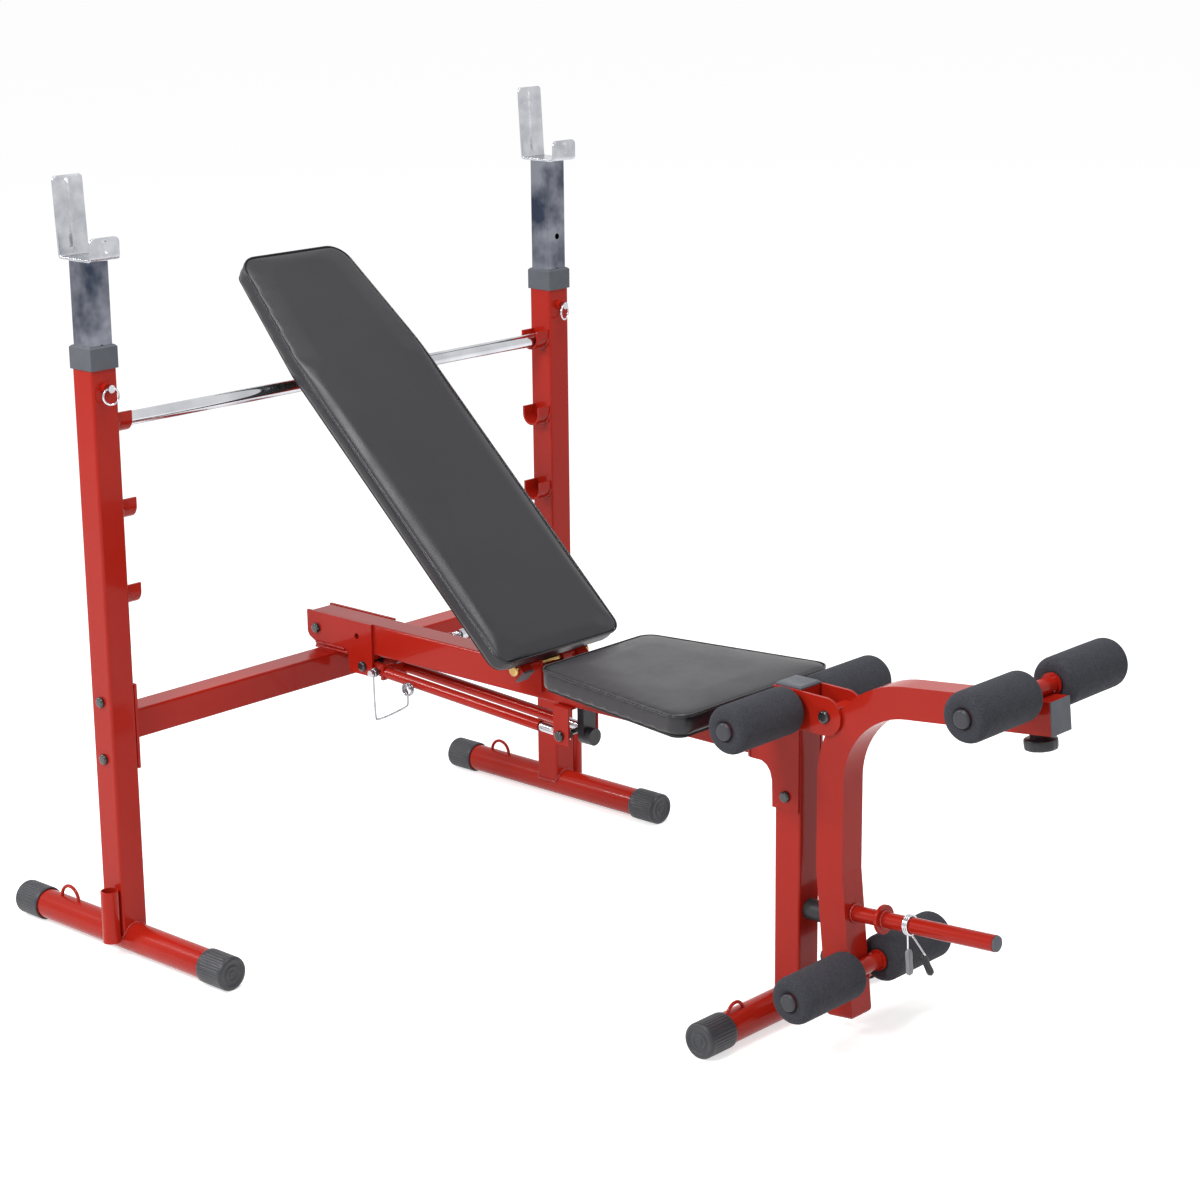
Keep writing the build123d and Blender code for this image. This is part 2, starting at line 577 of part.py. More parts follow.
save("back_cross_bars", *back_bars)
frame_plugs = []
for way in (-1, 1):
    for s, out in ((tube_low, -1), (tube_high, 1)):
        stopper = block(way * back_tube_x - 10.2, way * back_tube_x + 10.2, s, s - out * 8, hinge_n - 10.2,
                        hinge_n + 10.2)
        stopper += block(way * back_tube_x - 12.5, way * back_tube_x + 12.5, s, s + out * 3, hinge_n - 12.5,
                         hinge_n + 12.5)
        frame_plugs.append(back_place * stopper)
save("back_plugs", *frame_plugs)
beam_outer = back_tube_x + back_tube / 2
hinge_bolt = button_bolt(-beam_outer, beam_outer + 9, hinge_s, hinge_n, 10, 6, hinge_r)
hinge_bolt += rod_x(beam_outer, beam_outer + 8, hinge_s, hinge_n, 9.5)
save("back_hinge_bolt", back_place * hinge_bolt)
back_screws = []
for s in back_screw_s:
    for way in (-1, 1):
        screw = rod_z(way * back_tube_x, s, tube_back, pad_back + board - 0.2, 3)
        back_screws.append(back_place * (screw + rod_z(way * back_tube_x, s, tube_back - 3.5, tube_back, 6)))
save("back_screws", *back_screws)

# leg developer: one bent tube with its pivot sleeve and roller tubes
arm_foot = (-1118.0, 27.0)
arm_knee = (-1094.0, 262.0)
upper_slope = tan(arm_rise)
arm_corner_z = 560 + (arm_knee[0] + 1223) * -upper_slope
arm_corner = (arm_knee[0], arm_corner_z)
arm_tip = (arm_end_y, arm_corner_z + (arm_knee[0] - arm_end_y) * upper_slope)
arm_lean = atan2(arm_knee[0] - arm_foot[0], arm_knee[1] - arm_foot[1])


def unit(a, b):
    d = ((b[0] - a[0]) ** 2 + (b[1] - a[1]) ** 2) ** 0.5
    return (b[0] - a[0]) / d, (b[1] - a[1]) / d


def offset_path(points, h):
    # the polyline moved sideways by h, corners mitred
    out = []
    for i, p in enumerate(points):
        d0 = unit(points[max(i - 1, 0)], points[max(i - 1, 0) + 1])
        d1 = unit(points[min(i, len(points) - 2)], points[min(i, len(points) - 2) + 1])
        n0, n1 = (-d0[1], d0[0]), (-d1[1], d1[0])
        k = h / (1 + n0[0] * n1[0] + n0[1] * n1[1])
        out.append((p[0] + (n0[0] + n1[0]) * k, p[1] + (n0[1] + n1[1]) * k))
    return out


arm_path = [arm_foot, arm_knee, arm_corner, arm_tip]


def arm_band(h, x_half, low=0.0, high=0.0):
    # the arm's solid bar, h thick each side of its path, its ends moved out by low and high
    path = list(arm_path)
    d = unit(path[0], path[1])
    path[0] = (path[0][0] - d[0] * low, path[0][1] - d[1] * low)
    d = unit(path[2], path[3])
    path[3] = (path[3][0] + d[0] * high, path[3][1] + d[1] * high)
    left, right = offset_path(path, h), offset_path(path, -h)
    face = make_face(Polyline(*left, *right[::-1], close=True))
    for corner, way in ((left[2], -1), (right[2], 1)):
        vertex = face.vertices().sort_by_distance((corner[0], corner[1], 0))[0]
        face = fillet(vertex, arm_bend + way * h)
    solid = extrude(face, 2 * x_half)
    return Pos(-x_half, 0, 0) * Rot(0, 90, 90) * solid


arm = arm_band(arm_h, arm_half)
foot_end = arm.faces().sort_by_distance((0, *arm_foot))[0]
arm = fillet(foot_end.edges(), arm_foot_round)
arm -= arm_band(arm_h - arm_wall, arm_half - arm_wall, -arm_foot_round, 1.0)
sleeve_r = 14.0
arm += rod_x(-arm_half, arm_half, pivot_y, pivot_z, sleeve_r)
arm += block(-arm_half, arm_half, pivot_y - sleeve_r - 6, pivot_y, pivot_z - sleeve_r, pivot_z + sleeve_r)
arm -= rod_x(-60, 60, pivot_y, pivot_z, bolt_r + 1 + running_gap)


def arm_front(z):
    # the lower arm's front face at height z
    return arm_foot[0] + (z - arm_foot[1]) * tan(arm_lean) - arm_h / cos(arm_lean)


lower_z = 114.0
lower_y = arm_front(lower_z) - roller_tube_r + 1
upper_y = -1446.0
upper_z = arm_tip[1] - (upper_y - arm_end_y) * upper_slope + arm_h / cos(arm_rise) + roller_tube_r - 1
knob_y = -1449.0
arm_up = Pos(0, knob_y, arm_tip[1] - (knob_y - arm_end_y) * upper_slope) * Rot(-arm_slope, 0, 0)
arm -= arm_up * rod_z(0, 0, -arm_h - 2, -10, 5 + running_gap)
save("developer_arm", arm)
tube_end = foam_out + 1
roller_tubes = []
for y, z in ((lower_y, lower_z), (upper_y, upper_z)):
    bar = ring_x(-tube_end, tube_end, y, z, roller_tube_r, roller_tube_r - 2)
    for way in (-1, 1):
        bar += ring_x(way * (foam_in - 4), way * (foam_in - 1), y, z, 17, roller_tube_r - 1)
    roller_tubes.append(bar - arm_band(arm_h, arm_half))
save("developer_roller_tubes", *roller_tubes)
seat_bar = ring_x(-tube_end, tube_end, roller_seat[0], roller_seat[1], roller_tube_r, roller_tube_r - 2)
save("seat_roller_tube", seat_bar)


def roller_cap(way, y, z):
    # domed button that closes a roller tube
    dome = rod_x(way * tube_end, way * (tube_end + 5), y, z, 14)
    rim = dome.edges().filter_by(GeomType.CIRCLE).sort_by(Axis.X)
    dome = fillet(rim[-1] if way > 0 else rim[0], 4)
    return dome + rod_x(way * (tube_end - 12), way * tube_end, y, z, roller_tube_r - 2)


save("seat_roller_caps", *[roller_cap(w, *roller_seat) for w in (-1, 1)])
save("developer_roller_caps", *[roller_cap(w, y, z) for y, z in ((lower_y, lower_z), (upper_y, upper_z))
                                for w in (-1, 1)])
for row, y, z in (("seat", *roller_seat), ("lower", lower_y, lower_z), ("upper", upper_y, upper_z)):
    for name, way in (("left", -1), ("right", 1)):
        foam = ring_x(way * foam_in, way * foam_out, y, z, foam_r, roller_tube_r + foam_gap)
        save(f"foam_{row}_{name}", foam)

pivot_bolt = button_bolt(-half_bracket, half_bracket + 9, pivot_y, pivot_z, 10, 6, bolt_r + 1)
pivot_bolt += rod_x(half_bracket, half_bracket + 8, pivot_y, pivot_z, 9.5)
save("pivot_bolt", pivot_bolt)

# end cap and knob of the upper arm
arm_end = Pos(0, arm_tip[0], arm_tip[1]) * Rot(-arm_slope, 0, 0)
arm_cap = block(-arm_half, arm_half, -cap_face, 0, -arm_h, arm_h)
arm_cap += block(-arm_half + arm_wall + 0.2, arm_half - arm_wall - 0.2, 0, 8, -arm_h + arm_wall + 0.2,
                 arm_h - arm_wall - 0.2)
knob = rod_z(0, 0, -arm_h - 27, -arm_h - 10, 25.5)
knob = fillet(knob.edges().filter_by(GeomType.CIRCLE), 3)
knob += rod_z(0, 0, -arm_h - 10, -arm_h - 0.3, 16)
knob += rod_z(0, 0, -arm_h - 1, -arm_h + 14, 5)
save("arm_knob", arm_up * knob)

# weight post with flange and cap
weight_z = 195.0
weight_root = (arm_front(weight_z) + arm_h, weight_z)
weight_length = 286.0
weight_place = Pos(0, weight_root[0], weight_root[1]) * Rot(-weight_rise, 0, 0)
weight_step = -140.0
weight_post = rod_y(0, weight_step, 0, 0, weight_r) + rod_y(0, -weight_length, weight_step, 0, weight_outer_r)
weight_post -= rod_y(0, -weight_length - 1, 1, 0, weight_r - 2.5)
weight_post += rod_y(0, -83, -78, 0, 23) - rod_y(0, -84, -77, 0, weight_r - 1)
weight_post = weight_place * weight_post - arm_band(arm_h, arm_half)
weight_post = weight_post.solids().sort_by(Axis.Y)[0]
save("weight_post", weight_post)
weight_cap = rod_y(0, -weight_length - 3, -weight_length, 0, weight_r - 0.3)
weight_cap += rod_y(0, -weight_length, -weight_length + 14, 0, weight_r - 2.5)
save("developer_end_caps", arm_end * arm_cap, weight_place * weight_cap)

# spring clip on the weight post
clip_at = -124.0
clip_wire = 1.6
clip_ring = weight_outer_r + 0.2 + clip_wire
clip = None
for i in range(4):
    turn = Pos(0, clip_at - i * 2.9, 0) * Rot(90, 0, 0) * Torus(clip_ring, clip_wire)
    clip = turn if clip is None else clip + turn
clip_front = clip_at - 3 * 2.9
lever_grey = [(0, clip_at, -clip_ring), (0, clip_at - 1, -52)]
lever_black = [(0, clip_front, -clip_ring), (0, clip_front - 22, -46)]
for a, b in (lever_grey, lever_black):
    path = Line(a, b)
    clip += sweep(Plane(path @ 0, z_dir=path % 0) * Circle(clip_wire), path)
save("clip_spring", weight_place * clip)
grey_grip = block(-6, 6, clip_at - 6, clip_at + 4, -82, -38)
grey_grip = fillet(grey_grip.edges().filter_by(Axis.Z), 3)
grey_bore = block(-clip_wire - 0.05, clip_wire + 0.05, clip_at - 3, clip_at + 1.8, -53, -37)
black_grip = Pos(0, clip_front - 26, -58) * Rot(-28, 0, 0) * Box(14, 9, 34)
lever_path = Line(*lever_black)
lever_bore = sweep(Plane(lever_path @ 0, z_dir=lever_path % 0) * Circle(clip_wire + 0.05), lever_path)
save("clip_grips", weight_place * (grey_grip - grey_bore), weight_place * (black_grip - lever_bore))

# rubber bumper on the leg, and the cap nut behind the arm
bumper_z = 182.0
bumper = rod_y(0, -1120, leg_front, bumper_z, 16.5)
bumper_clear = arm_band(arm_h + contact_gap, arm_half + 10)
bumper = (bumper - bumper_clear).solids().sort_by(Axis.Y)[-1]
save("leg_bumper", bumper)
arm_rear_114 = arm_front(lower_z) + 2 * arm_h / cos(arm_lean)
nut_place = Pos(0, arm_rear_114, lower_z) * Rot(-degrees(arm_lean), 0, 0)
save("arm_nut", nut_place * fillet(rod_y(0, 0, 17, 0, 12).edges().sort_by(Axis.Y)[-1], 4))
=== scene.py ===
import json
import bmesh
import bpy
import numpy as np
from math import atan2, cos, pi, radians, sin, tan
from mathutils import Matrix, Vector


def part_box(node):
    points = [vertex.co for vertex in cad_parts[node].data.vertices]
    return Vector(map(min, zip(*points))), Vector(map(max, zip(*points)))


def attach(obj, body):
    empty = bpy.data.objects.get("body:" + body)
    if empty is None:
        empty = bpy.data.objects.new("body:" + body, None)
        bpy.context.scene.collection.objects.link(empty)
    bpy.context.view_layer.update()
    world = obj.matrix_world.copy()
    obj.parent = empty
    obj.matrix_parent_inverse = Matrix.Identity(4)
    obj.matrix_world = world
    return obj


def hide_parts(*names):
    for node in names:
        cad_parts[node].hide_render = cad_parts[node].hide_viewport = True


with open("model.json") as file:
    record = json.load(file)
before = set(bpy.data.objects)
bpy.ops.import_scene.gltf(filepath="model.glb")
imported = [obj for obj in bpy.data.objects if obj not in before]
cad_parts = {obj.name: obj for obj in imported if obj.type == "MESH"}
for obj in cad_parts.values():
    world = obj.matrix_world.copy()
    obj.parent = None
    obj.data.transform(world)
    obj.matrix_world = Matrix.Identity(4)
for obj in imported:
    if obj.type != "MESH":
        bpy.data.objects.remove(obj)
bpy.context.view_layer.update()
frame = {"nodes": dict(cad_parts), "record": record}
scene = bpy.context.scene
scene.view_settings.view_transform = "Standard"
print("frame loaded:", len(frame["nodes"]), "nodes")

# the uprights' centre line in y; the pieces below are given in mm from it, from mid-width and from the floor
uprightHalf = 0.025
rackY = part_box("upright_right")[1][1] - uprightHalf


def place(points):
    # mm from the rack's centre line to metres in the frame
    return np.asarray(points, float) / 1000 + np.array([0, rackY, 0])


# materials

def newGroup(name, inputs, outputs):
    # an empty shader group with its sockets; inputs are (name, kind, default)
    group = bpy.data.node_groups.new(name, "ShaderNodeTree")
    for label, kind, value in inputs:
        socket = group.interface.new_socket(name=label, in_out="INPUT", socket_type=kind)
        socket.default_value = value
    for label, kind in outputs:
        group.interface.new_socket(name=label, in_out="OUTPUT", socket_type=kind)
    return group, group.nodes.new("NodeGroupInput"), group.nodes.new("NodeGroupOutput")


def noiseNode(tree, detail=3.0, rough=0.55):
    noise = tree.nodes.new("ShaderNodeTexNoise")
    noise.inputs["Detail"].default_value = detail
    noise.inputs["Roughness"].default_value = rough
    return noise


def buildTone():
    # colour = base mixed towards tone by a soft noise, times amount
    group, start, end = newGroup("toneDrift", [("Base", "NodeSocketColor", (0.5, 0.5, 0.5, 1)),
                                              ("Tone", "NodeSocketColor", (0.4, 0.4, 0.4, 1)),
                                              ("Scale", "NodeSocketFloat", 6.0),
                                              ("Amount", "NodeSocketFloat", 0.5)],
                                 [("Color", "NodeSocketColor")])
    coords = group.nodes.new("ShaderNodeTexCoord")
    noise = noiseNode(group)
    spread = group.nodes.new("ShaderNodeMapRange")
    spread.inputs["From Min"].default_value = 0.35
    spread.inputs["From Max"].default_value = 0.65
    scaled = group.nodes.new("ShaderNodeMath")
    scaled.operation = "MULTIPLY"
    mix = group.nodes.new("ShaderNodeMix")
    mix.data_type = "RGBA"
    link = group.links.new
    link(coords.outputs["Object"], noise.inputs["Vector"])
    link(start.outputs["Scale"], noise.inputs["Scale"])
    link(noise.outputs["Fac"], spread.inputs["Value"])
    link(spread.outputs["Result"], scaled.inputs[0])
    link(start.outputs["Amount"], scaled.inputs[1])
    link(scaled.outputs[0], mix.inputs["Factor"])
    link(start.outputs["Base"], mix.inputs["A"])
    link(start.outputs["Tone"], mix.inputs["B"])
    link(mix.outputs["Result"], end.inputs["Color"])
    return group


def buildPolish():
    # roughness = low to high by noise, with finer streaks on top
    group, start, end = newGroup("polishDrift", [("Low", "NodeSocketFloat", 0.2),
                                                ("High", "NodeSocketFloat", 0.4),
                                                ("Scale", "NodeSocketFloat", 20.0)],
                                 [("Roughness", "NodeSocketFloat")])
    coords = group.nodes.new("ShaderNodeTexCoord")
    noise = noiseNode(group, 5.0, 0.65)
    spread = group.nodes.new("ShaderNodeMapRange")
    spread.inputs["From Min"].default_value = 0.3
    spread.inputs["From Max"].default_value = 0.7
    link = group.links.new
    link(coords.outputs["Object"], noise.inputs["Vector"])
    link(start.outputs["Scale"], noise.inputs["Scale"])
    link(noise.outputs["Fac"], spread.inputs["Value"])
    link(start.outputs["Low"], spread.inputs["To Min"])
    link(start.outputs["High"], spread.inputs["To Max"])
    link(spread.outputs["Result"], end.inputs["Roughness"])
    return group


def buildGrain():
    # height = cell edges of a fine pebble pattern blended with finer noise; out comes the bumped normal
    group, start, end = newGroup("fineGrain", [("Cells", "NodeSocketFloat", 400.0),
                                              ("Noise", "NodeSocketFloat", 900.0),
                                              ("Blend", "NodeSocketFloat", 0.5),
                                              ("Depth", "NodeSocketFloat", 0.0002),
                                              ("Strength", "NodeSocketFloat", 0.5)],
                                 [("Normal", "NodeSocketVector"), ("Height", "NodeSocketFloat")])
    coords = group.nodes.new("ShaderNodeTexCoord")
    cells = group.nodes.new("ShaderNodeTexVoronoi")
    noise = noiseNode(group, 4.0, 0.6)
    mix = group.nodes.new("ShaderNodeMix")
    bump = group.nodes.new("ShaderNodeBump")
    link = group.links.new
    link(coords.outputs["Object"], cells.inputs["Vector"])
    link(coords.outputs["Object"], noise.inputs["Vector"])
    link(start.outputs["Cells"], cells.inputs["Scale"])
    link(start.outputs["Noise"], noise.inputs["Scale"])
    link(start.outputs["Blend"], mix.inputs["Factor"])
    link(cells.outputs["Distance"], mix.inputs["A"])
    link(noise.outputs["Fac"], mix.inputs["B"])
    link(mix.outputs["Result"], bump.inputs["Height"])
    link(start.outputs["Depth"], bump.inputs["Distance"])
    link(start.outputs["Strength"], bump.inputs["Strength"])
    link(bump.outputs["Normal"], end.inputs["Normal"])
    link(mix.outputs["Result"], end.inputs["Height"])
    return group


toneGroup, polishGroup, grainGroup = buildTone(), buildPolish(), buildGrain()

finishes = {
    "redEnamel": dict(base=(0.41, 0.0170, 0.0080), tone=(0.34, 0.0120, 0.0065), toneScale=2.2,
                      toneAmount=0.7, low=0.17, high=0.27, polishScale=7.0, cells=90, noise=160,
                      blend=1.0, depth=0.0004, strength=0.06, level=0.08, coat=0.17, coatRough=0.045),
    "weldEnamel": dict(base=(0.38, 0.014, 0.009), tone=(0.28, 0.010, 0.007), toneScale=60.0,
                       toneAmount=0.7, low=0.20, high=0.34, polishScale=120.0, cells=300, noise=500,
                       blend=0.7, depth=0.0006, strength=0.5, level=0.3, coat=0.2, coatRough=0.08),
    "brightChrome": dict(base=(0.62, 0.63, 0.66), tone=(0.36, 0.37, 0.40), toneScale=14.0, toneAmount=0.5,
                         low=0.05, high=0.13, polishScale=18.0, cells=200, noise=500, blend=1.0,
                         depth=0.0001, strength=0.06, metal=1.0),
    # the posts' chrome: its darkened base and strong dark bluish blotches are painted reflection of a dark
    # surround, not the plating's own colour
    "paintedReflectionChrome": dict(base=(0.25, 0.26, 0.30), tone=(0.040, 0.050, 0.078), toneScale=15.0,
                       toneAmount=1.0, low=0.06, high=0.24, polishScale=34.0, cells=240, noise=420,
                       blend=0.9, depth=0.0004, strength=0.22, metal=1.0),
    "zincPlate": dict(base=(0.56, 0.57, 0.60), tone=(0.36, 0.37, 0.40), toneScale=30.0, toneAmount=0.7,
                      low=0.14, high=0.32, polishScale=70.0, cells=420, noise=700, blend=0.9,
                      depth=0.0001, strength=0.12, metal=1.0),
    "wireSteel": dict(base=(0.42, 0.42, 0.45), tone=(0.22, 0.22, 0.25), toneScale=70.0, toneAmount=0.8,
                      low=0.16, high=0.30, polishScale=90.0, cells=420, noise=700, blend=0.8,
                      depth=0.0001, strength=0.10, metal=1.0),
    "greyPlastic": dict(base=(0.088, 0.096, 0.112), tone=(0.070, 0.076, 0.090), toneScale=20.0,
                        toneAmount=0.7, low=0.40, high=0.54, polishScale=40.0, cells=900, noise=1800,
                        blend=0.6, depth=0.0001, strength=0.25, level=0.35),
    "blackPlastic": dict(base=(0.020, 0.020, 0.024), tone=(0.013, 0.013, 0.016), toneScale=24.0,
                         toneAmount=0.7, low=0.28, high=0.42, polishScale=50.0, cells=900, noise=1800,
                         blend=0.6, depth=0.0001, strength=0.25, level=0.4),
    "capGrey": dict(base=(0.036, 0.037, 0.044), tone=(0.026, 0.027, 0.033), toneScale=24.0,
                    toneAmount=0.7, low=0.34, high=0.48, polishScale=50.0, cells=900, noise=1800,
                    blend=0.6, depth=0.0001, strength=0.25, level=0.4),
    "gripGrey": dict(base=(0.27, 0.275, 0.29), tone=(0.21, 0.215, 0.23), toneScale=40.0, toneAmount=0.7,
                     low=0.4, high=0.55, polishScale=60.0, cells=900, noise=1800, blend=0.6, depth=0.0001,
                     strength=0.25, level=0.4),
    "padVinyl": dict(base=(0.0100, 0.0095, 0.0135), tone=(0.0065, 0.0062, 0.0092), toneScale=4.0,
                     toneAmount=0.8, low=0.30, high=0.40, polishScale=12.0, cells=520, noise=1300,
                     blend=0.30, depth=0.0005, strength=0.30, level=0.47),
    # the seam rolls: the pad's vinyl made lighter and glossier, a painted highlight on the rolled edges of
    # the seam
    "paintedHighlightSeamVinyl": dict(base=(0.024, 0.023, 0.027), tone=(0.014, 0.014, 0.017), toneScale=40.0,
                      toneAmount=0.7, low=0.22, high=0.32, polishScale=60.0, cells=620, noise=1500,
                      blend=0.35, depth=0.0002, strength=0.25, level=0.45),
    "closedFoam": dict(base=(0.050, 0.051, 0.061), tone=(0.028, 0.029, 0.036), toneScale=420.0,
                       toneAmount=0.8, low=0.80, high=0.95, polishScale=90.0, cells=420, noise=760,
                       blend=0.55, depth=0.0012, strength=0.6, level=0.25),
    "boardBack": dict(base=(0.026, 0.024, 0.023), tone=(0.018, 0.017, 0.016), toneScale=80.0,
                      toneAmount=0.6, low=0.75, high=0.9, polishScale=60.0, cells=500, noise=900,
                      blend=0.6, depth=0.0003, strength=0.4, level=0.3),
    "blackSteel": dict(base=(0.016, 0.016, 0.018), tone=(0.010, 0.010, 0.012), toneScale=60.0,
                       toneAmount=0.6, low=0.18, high=0.30, polishScale=80.0, cells=500, noise=900,
                       blend=0.6, depth=0.0001, strength=0.2, coat=0.4, coatRough=0.1),
    "yellowBrass": dict(base=(0.55, 0.36, 0.13), tone=(0.40, 0.26, 0.10), toneScale=60.0, toneAmount=0.6,
                        low=0.22, high=0.38, polishScale=80.0, cells=500, noise=900, blend=0.6,
                        depth=0.0001, strength=0.2, metal=1.0),
    "softRubber": dict(base=(0.018, 0.018, 0.020), tone=(0.012, 0.012, 0.014), toneScale=40.0,
                       toneAmount=0.6, low=0.42, high=0.58, polishScale=60.0, cells=700, noise=1200,
                       blend=0.6, depth=0.0002, strength=0.3, level=0.4),
}


def buildMaterial(name, f):
    mat = bpy.data.materials.new(name)
    mat.use_nodes = True
    tree = mat.node_tree
    shader = tree.nodes["Principled BSDF"]
    tone = tree.nodes.new("ShaderNodeGroup")
    tone.node_tree = toneGroup
    tone.inputs["Base"].default_value = (*f["base"], 1)
    tone.inputs["Tone"].default_value = (*f["tone"], 1)
    tone.inputs["Scale"].default_value = f["toneScale"]
    tone.inputs["Amount"].default_value = f["toneAmount"]
    polish = tree.nodes.new("ShaderNodeGroup")
    polish.node_tree = polishGroup
    polish.inputs["Low"].default_value = f["low"]
    polish.inputs["High"].default_value = f["high"]
    polish.inputs["Scale"].default_value = f["polishScale"]
    grain = tree.nodes.new("ShaderNodeGroup")
    grain.node_tree = grainGroup
    for label in ("Cells", "Noise", "Blend", "Depth", "Strength"):
        grain.inputs[label].default_value = f[label.lower()]
    tree.links.new(tone.outputs["Color"], shader.inputs["Base Color"])
    tree.links.new(polish.outputs["Roughness"], shader.inputs["Roughness"])
    tree.links.new(grain.outputs["Normal"], shader.inputs["Normal"])
    shader.inputs["Metallic"].default_value = f.get("metal", 0.0)
    shader.inputs["Coat Weight"].default_value = f.get("coat", 0.0)
    shader.inputs["Coat Roughness"].default_value = f.get("coatRough", 0.03)
    shader.inputs["Specular IOR Level"].default_value = f.get("level", 0.5)
    return mat


materials = {name: buildMaterial(name, f) for name, f in finishes.items()}

slotMaterial = {"red_paint": "redEnamel", "chrome": "brightChrome", "zinc": "zincPlate",
                "grey_plastic": "greyPlastic", "black_plastic": "capGrey", "vinyl": "padVinyl",
                "foam": "closedFoam", "board": "boardBack",
                "black_steel": "blackSteel", "brass": "yellowBrass", "rubber": "softRubber"}
slotOf = {row["node"]: row["material_slot"] for row in frame["record"]["subparts"]}
nodeMaterial = {"post_left": "paintedReflectionChrome", "post_right": "paintedReflectionChrome", "arm_nut": "blackPlastic",
                "strut_stop": "blackPlastic", "bar_plugs": "blackPlastic"}

for node, obj in frame["nodes"].items():
    chosen = materials[nodeMaterial.get(node, slotMaterial[slotOf[node]])]
    obj.data.materials.clear()
    obj.data.materials.append(chosen)
print("materials built:", len(materials))


# surface tools

def gridFaces(rows, cols, wrapRows, wrapCols):
    # quads between neighbouring rows and columns of a grid of points, wrapped where asked
    r = np.arange(rows if wrapRows else rows - 1)[:, None]
    c = np.arange(cols if wrapCols else cols - 1)[None, :]
    r2, c2 = (r + 1) % rows, (c + 1) % cols
    return np.stack([r * cols + c, r * cols + c2, r2 * cols + c2, r2 * cols + c], -1).reshape(-1, 4).tolist()


def endFaces(rows, cols):
    # one flat face over the first row of a grid and one over the last
    return [list(range(cols))[::-1], list(range((rows - 1) * cols, rows * cols))]


def addPiece(name, points, faces, body, material, replaced=()):
    # a mesh from arrays in frame metres, riding on its body
    mesh = bpy.data.meshes.new(name)
    mesh.from_pydata(np.asarray(points).tolist(), [], faces)
    mesh.validate()
    mesh.polygons.foreach_set("use_smooth", np.ones(len(mesh.polygons), bool))
    mesh.materials.append(materials[material])
    obj = bpy.data.objects.new(name, mesh)
    scene.collection.objects.link(obj)
    fixNormals(obj)
    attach(obj, body)
    if replaced:
        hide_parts(*replaced)
    return obj


def fixNormals(obj):
    bm = bmesh.new()
    bm.from_mesh(obj.data)
    bmesh.ops.recalc_face_normals(bm, faces=bm.faces)
    bm.to_mesh(obj.data)
    bm.free()


def axisFrame(axis):
    # two unit vectors square to axis
    axis = np.asarray(axis, float) / np.linalg.norm(axis)
    helper = np.array([0, 0, 1.0]) if abs(axis[2]) < 0.9 else np.array([1.0, 0, 0])
    side = np.cross(helper, axis)
    side /= np.linalg.norm(side)
    return axis, side, np.cross(axis, side)


def latheSurface(profile, origin, axis, count, ripple=None):
    # a profile of (distance along the axis, radius) turned about the axis; ripple(angle, row) scales radii
    axis, side, up = axisFrame(axis)
    profile = np.asarray(profile, float)
    angle = np.linspace(0, 2 * pi, count, endpoint=False)
    radius = np.repeat(profile[:, 1][:, None], count, 1)
    if ripple is not None:
        radius = radius * ripple(angle[None, :], np.arange(len(profile))[:, None])
    points = (np.asarray(origin)[None, None] + profile[:, 0][:, None, None] * axis
              + radius[..., None] * (np.cos(angle)[None, :, None] * side + np.sin(angle)[None, :, None] * up))
    return points.reshape(-1, 3), gridFaces(len(profile), count, False, True)


def cappedLathe(profile, origin, axis, count, ripple=None):
    # the turned surface with a flat face closing each end
    points, faces = latheSurface(profile, origin, axis, count, ripple)
    return points, faces + endFaces(len(profile), count)


def tubeAlong(path, radius, sides, reference, closed=False):
    # a circle carried along a path; reference is a direction never parallel to the path
    path = np.asarray(path, float)
    if closed:
        tangent = np.roll(path, -1, 0) - np.roll(path, 1, 0)
    else:
        tangent = np.gradient(path, axis=0)
    tangent /= np.linalg.norm(tangent, axis=1)[:, None]
    first = np.cross(np.asarray(reference, float), tangent)
    first /= np.linalg.norm(first, axis=1)[:, None]
    second = np.cross(tangent, first)
    angle = np.linspace(0, 2 * pi, sides, endpoint=False)
    radius = np.broadcast_to(np.asarray(radius, float), (len(path),))
    ring = np.cos(angle)[None, :, None] * first[:, None] + np.sin(angle)[None, :, None] * second[:, None]
    points = (path[:, None] + ring * radius[:, None, None]).reshape(-1, 3)
    faces = gridFaces(len(path), sides, closed, True)
    if not closed:
        faces += [face[::-1] for face in endFaces(len(path), sides)]
    return points, faces


def merged(parts):
    # several point and face sets as one
    points, faces, start = [], [], 0
    for p, f in parts:
        points.append(p)
        faces += [[i + start for i in face] for face in f]
        start += len(p)
    return np.concatenate(points), faces


def roundedPolygon(corners, radii, step):
    # straight runs joined by arcs, as even points anticlockwise
    corners = np.asarray(corners, float)
    pieces = []
    n = len(corners)
    for i in range(n):
        p, before, after = corners[i], corners[i - 1], corners[(i + 1) % n]
        a, b = (before - p) / np.linalg.norm(before - p), (after - p) / np.linalg.norm(after - p)
        half = np.arccos(np.clip(a @ b, -1, 1)) / 2
        reach = radii[i] / tan(half)
        centre = p + (a + b) / np.linalg.norm(a + b) * radii[i] / sin(half)
        t0, t1 = p + a * reach - centre, p + b * reach - centre
        start, end = atan2(t0[1], t0[0]), atan2(t1[1], t1[0])
        turn = (end - start + pi) % (2 * pi) - pi
        w = np.linspace(start, start + turn, max(3, int(abs(turn) * radii[i] / step) + 2))
        pieces.append(centre + radii[i] * np.stack([np.cos(w), np.sin(w)], 1))
    line = np.concatenate(pieces)
    line = np.concatenate([line, line[:1]])
    along = np.concatenate([[0], np.cumsum(np.linalg.norm(np.diff(line, axis=0), axis=1))])
    even = np.linspace(0, along[-1], int(along[-1] / step), endpoint=False)
    return np.stack([np.interp(even, along, line[:, k]) for k in (0, 1)], 1)


def outwardNormals(outline):
    tangent = np.roll(outline, -1, 0) - np.roll(outline, 1, 0)
    normal = np.stack([tangent[:, 1], -tangent[:, 0]], 1)
    return normal / np.linalg.norm(normal, axis=1)[:, None]


# padded pieces

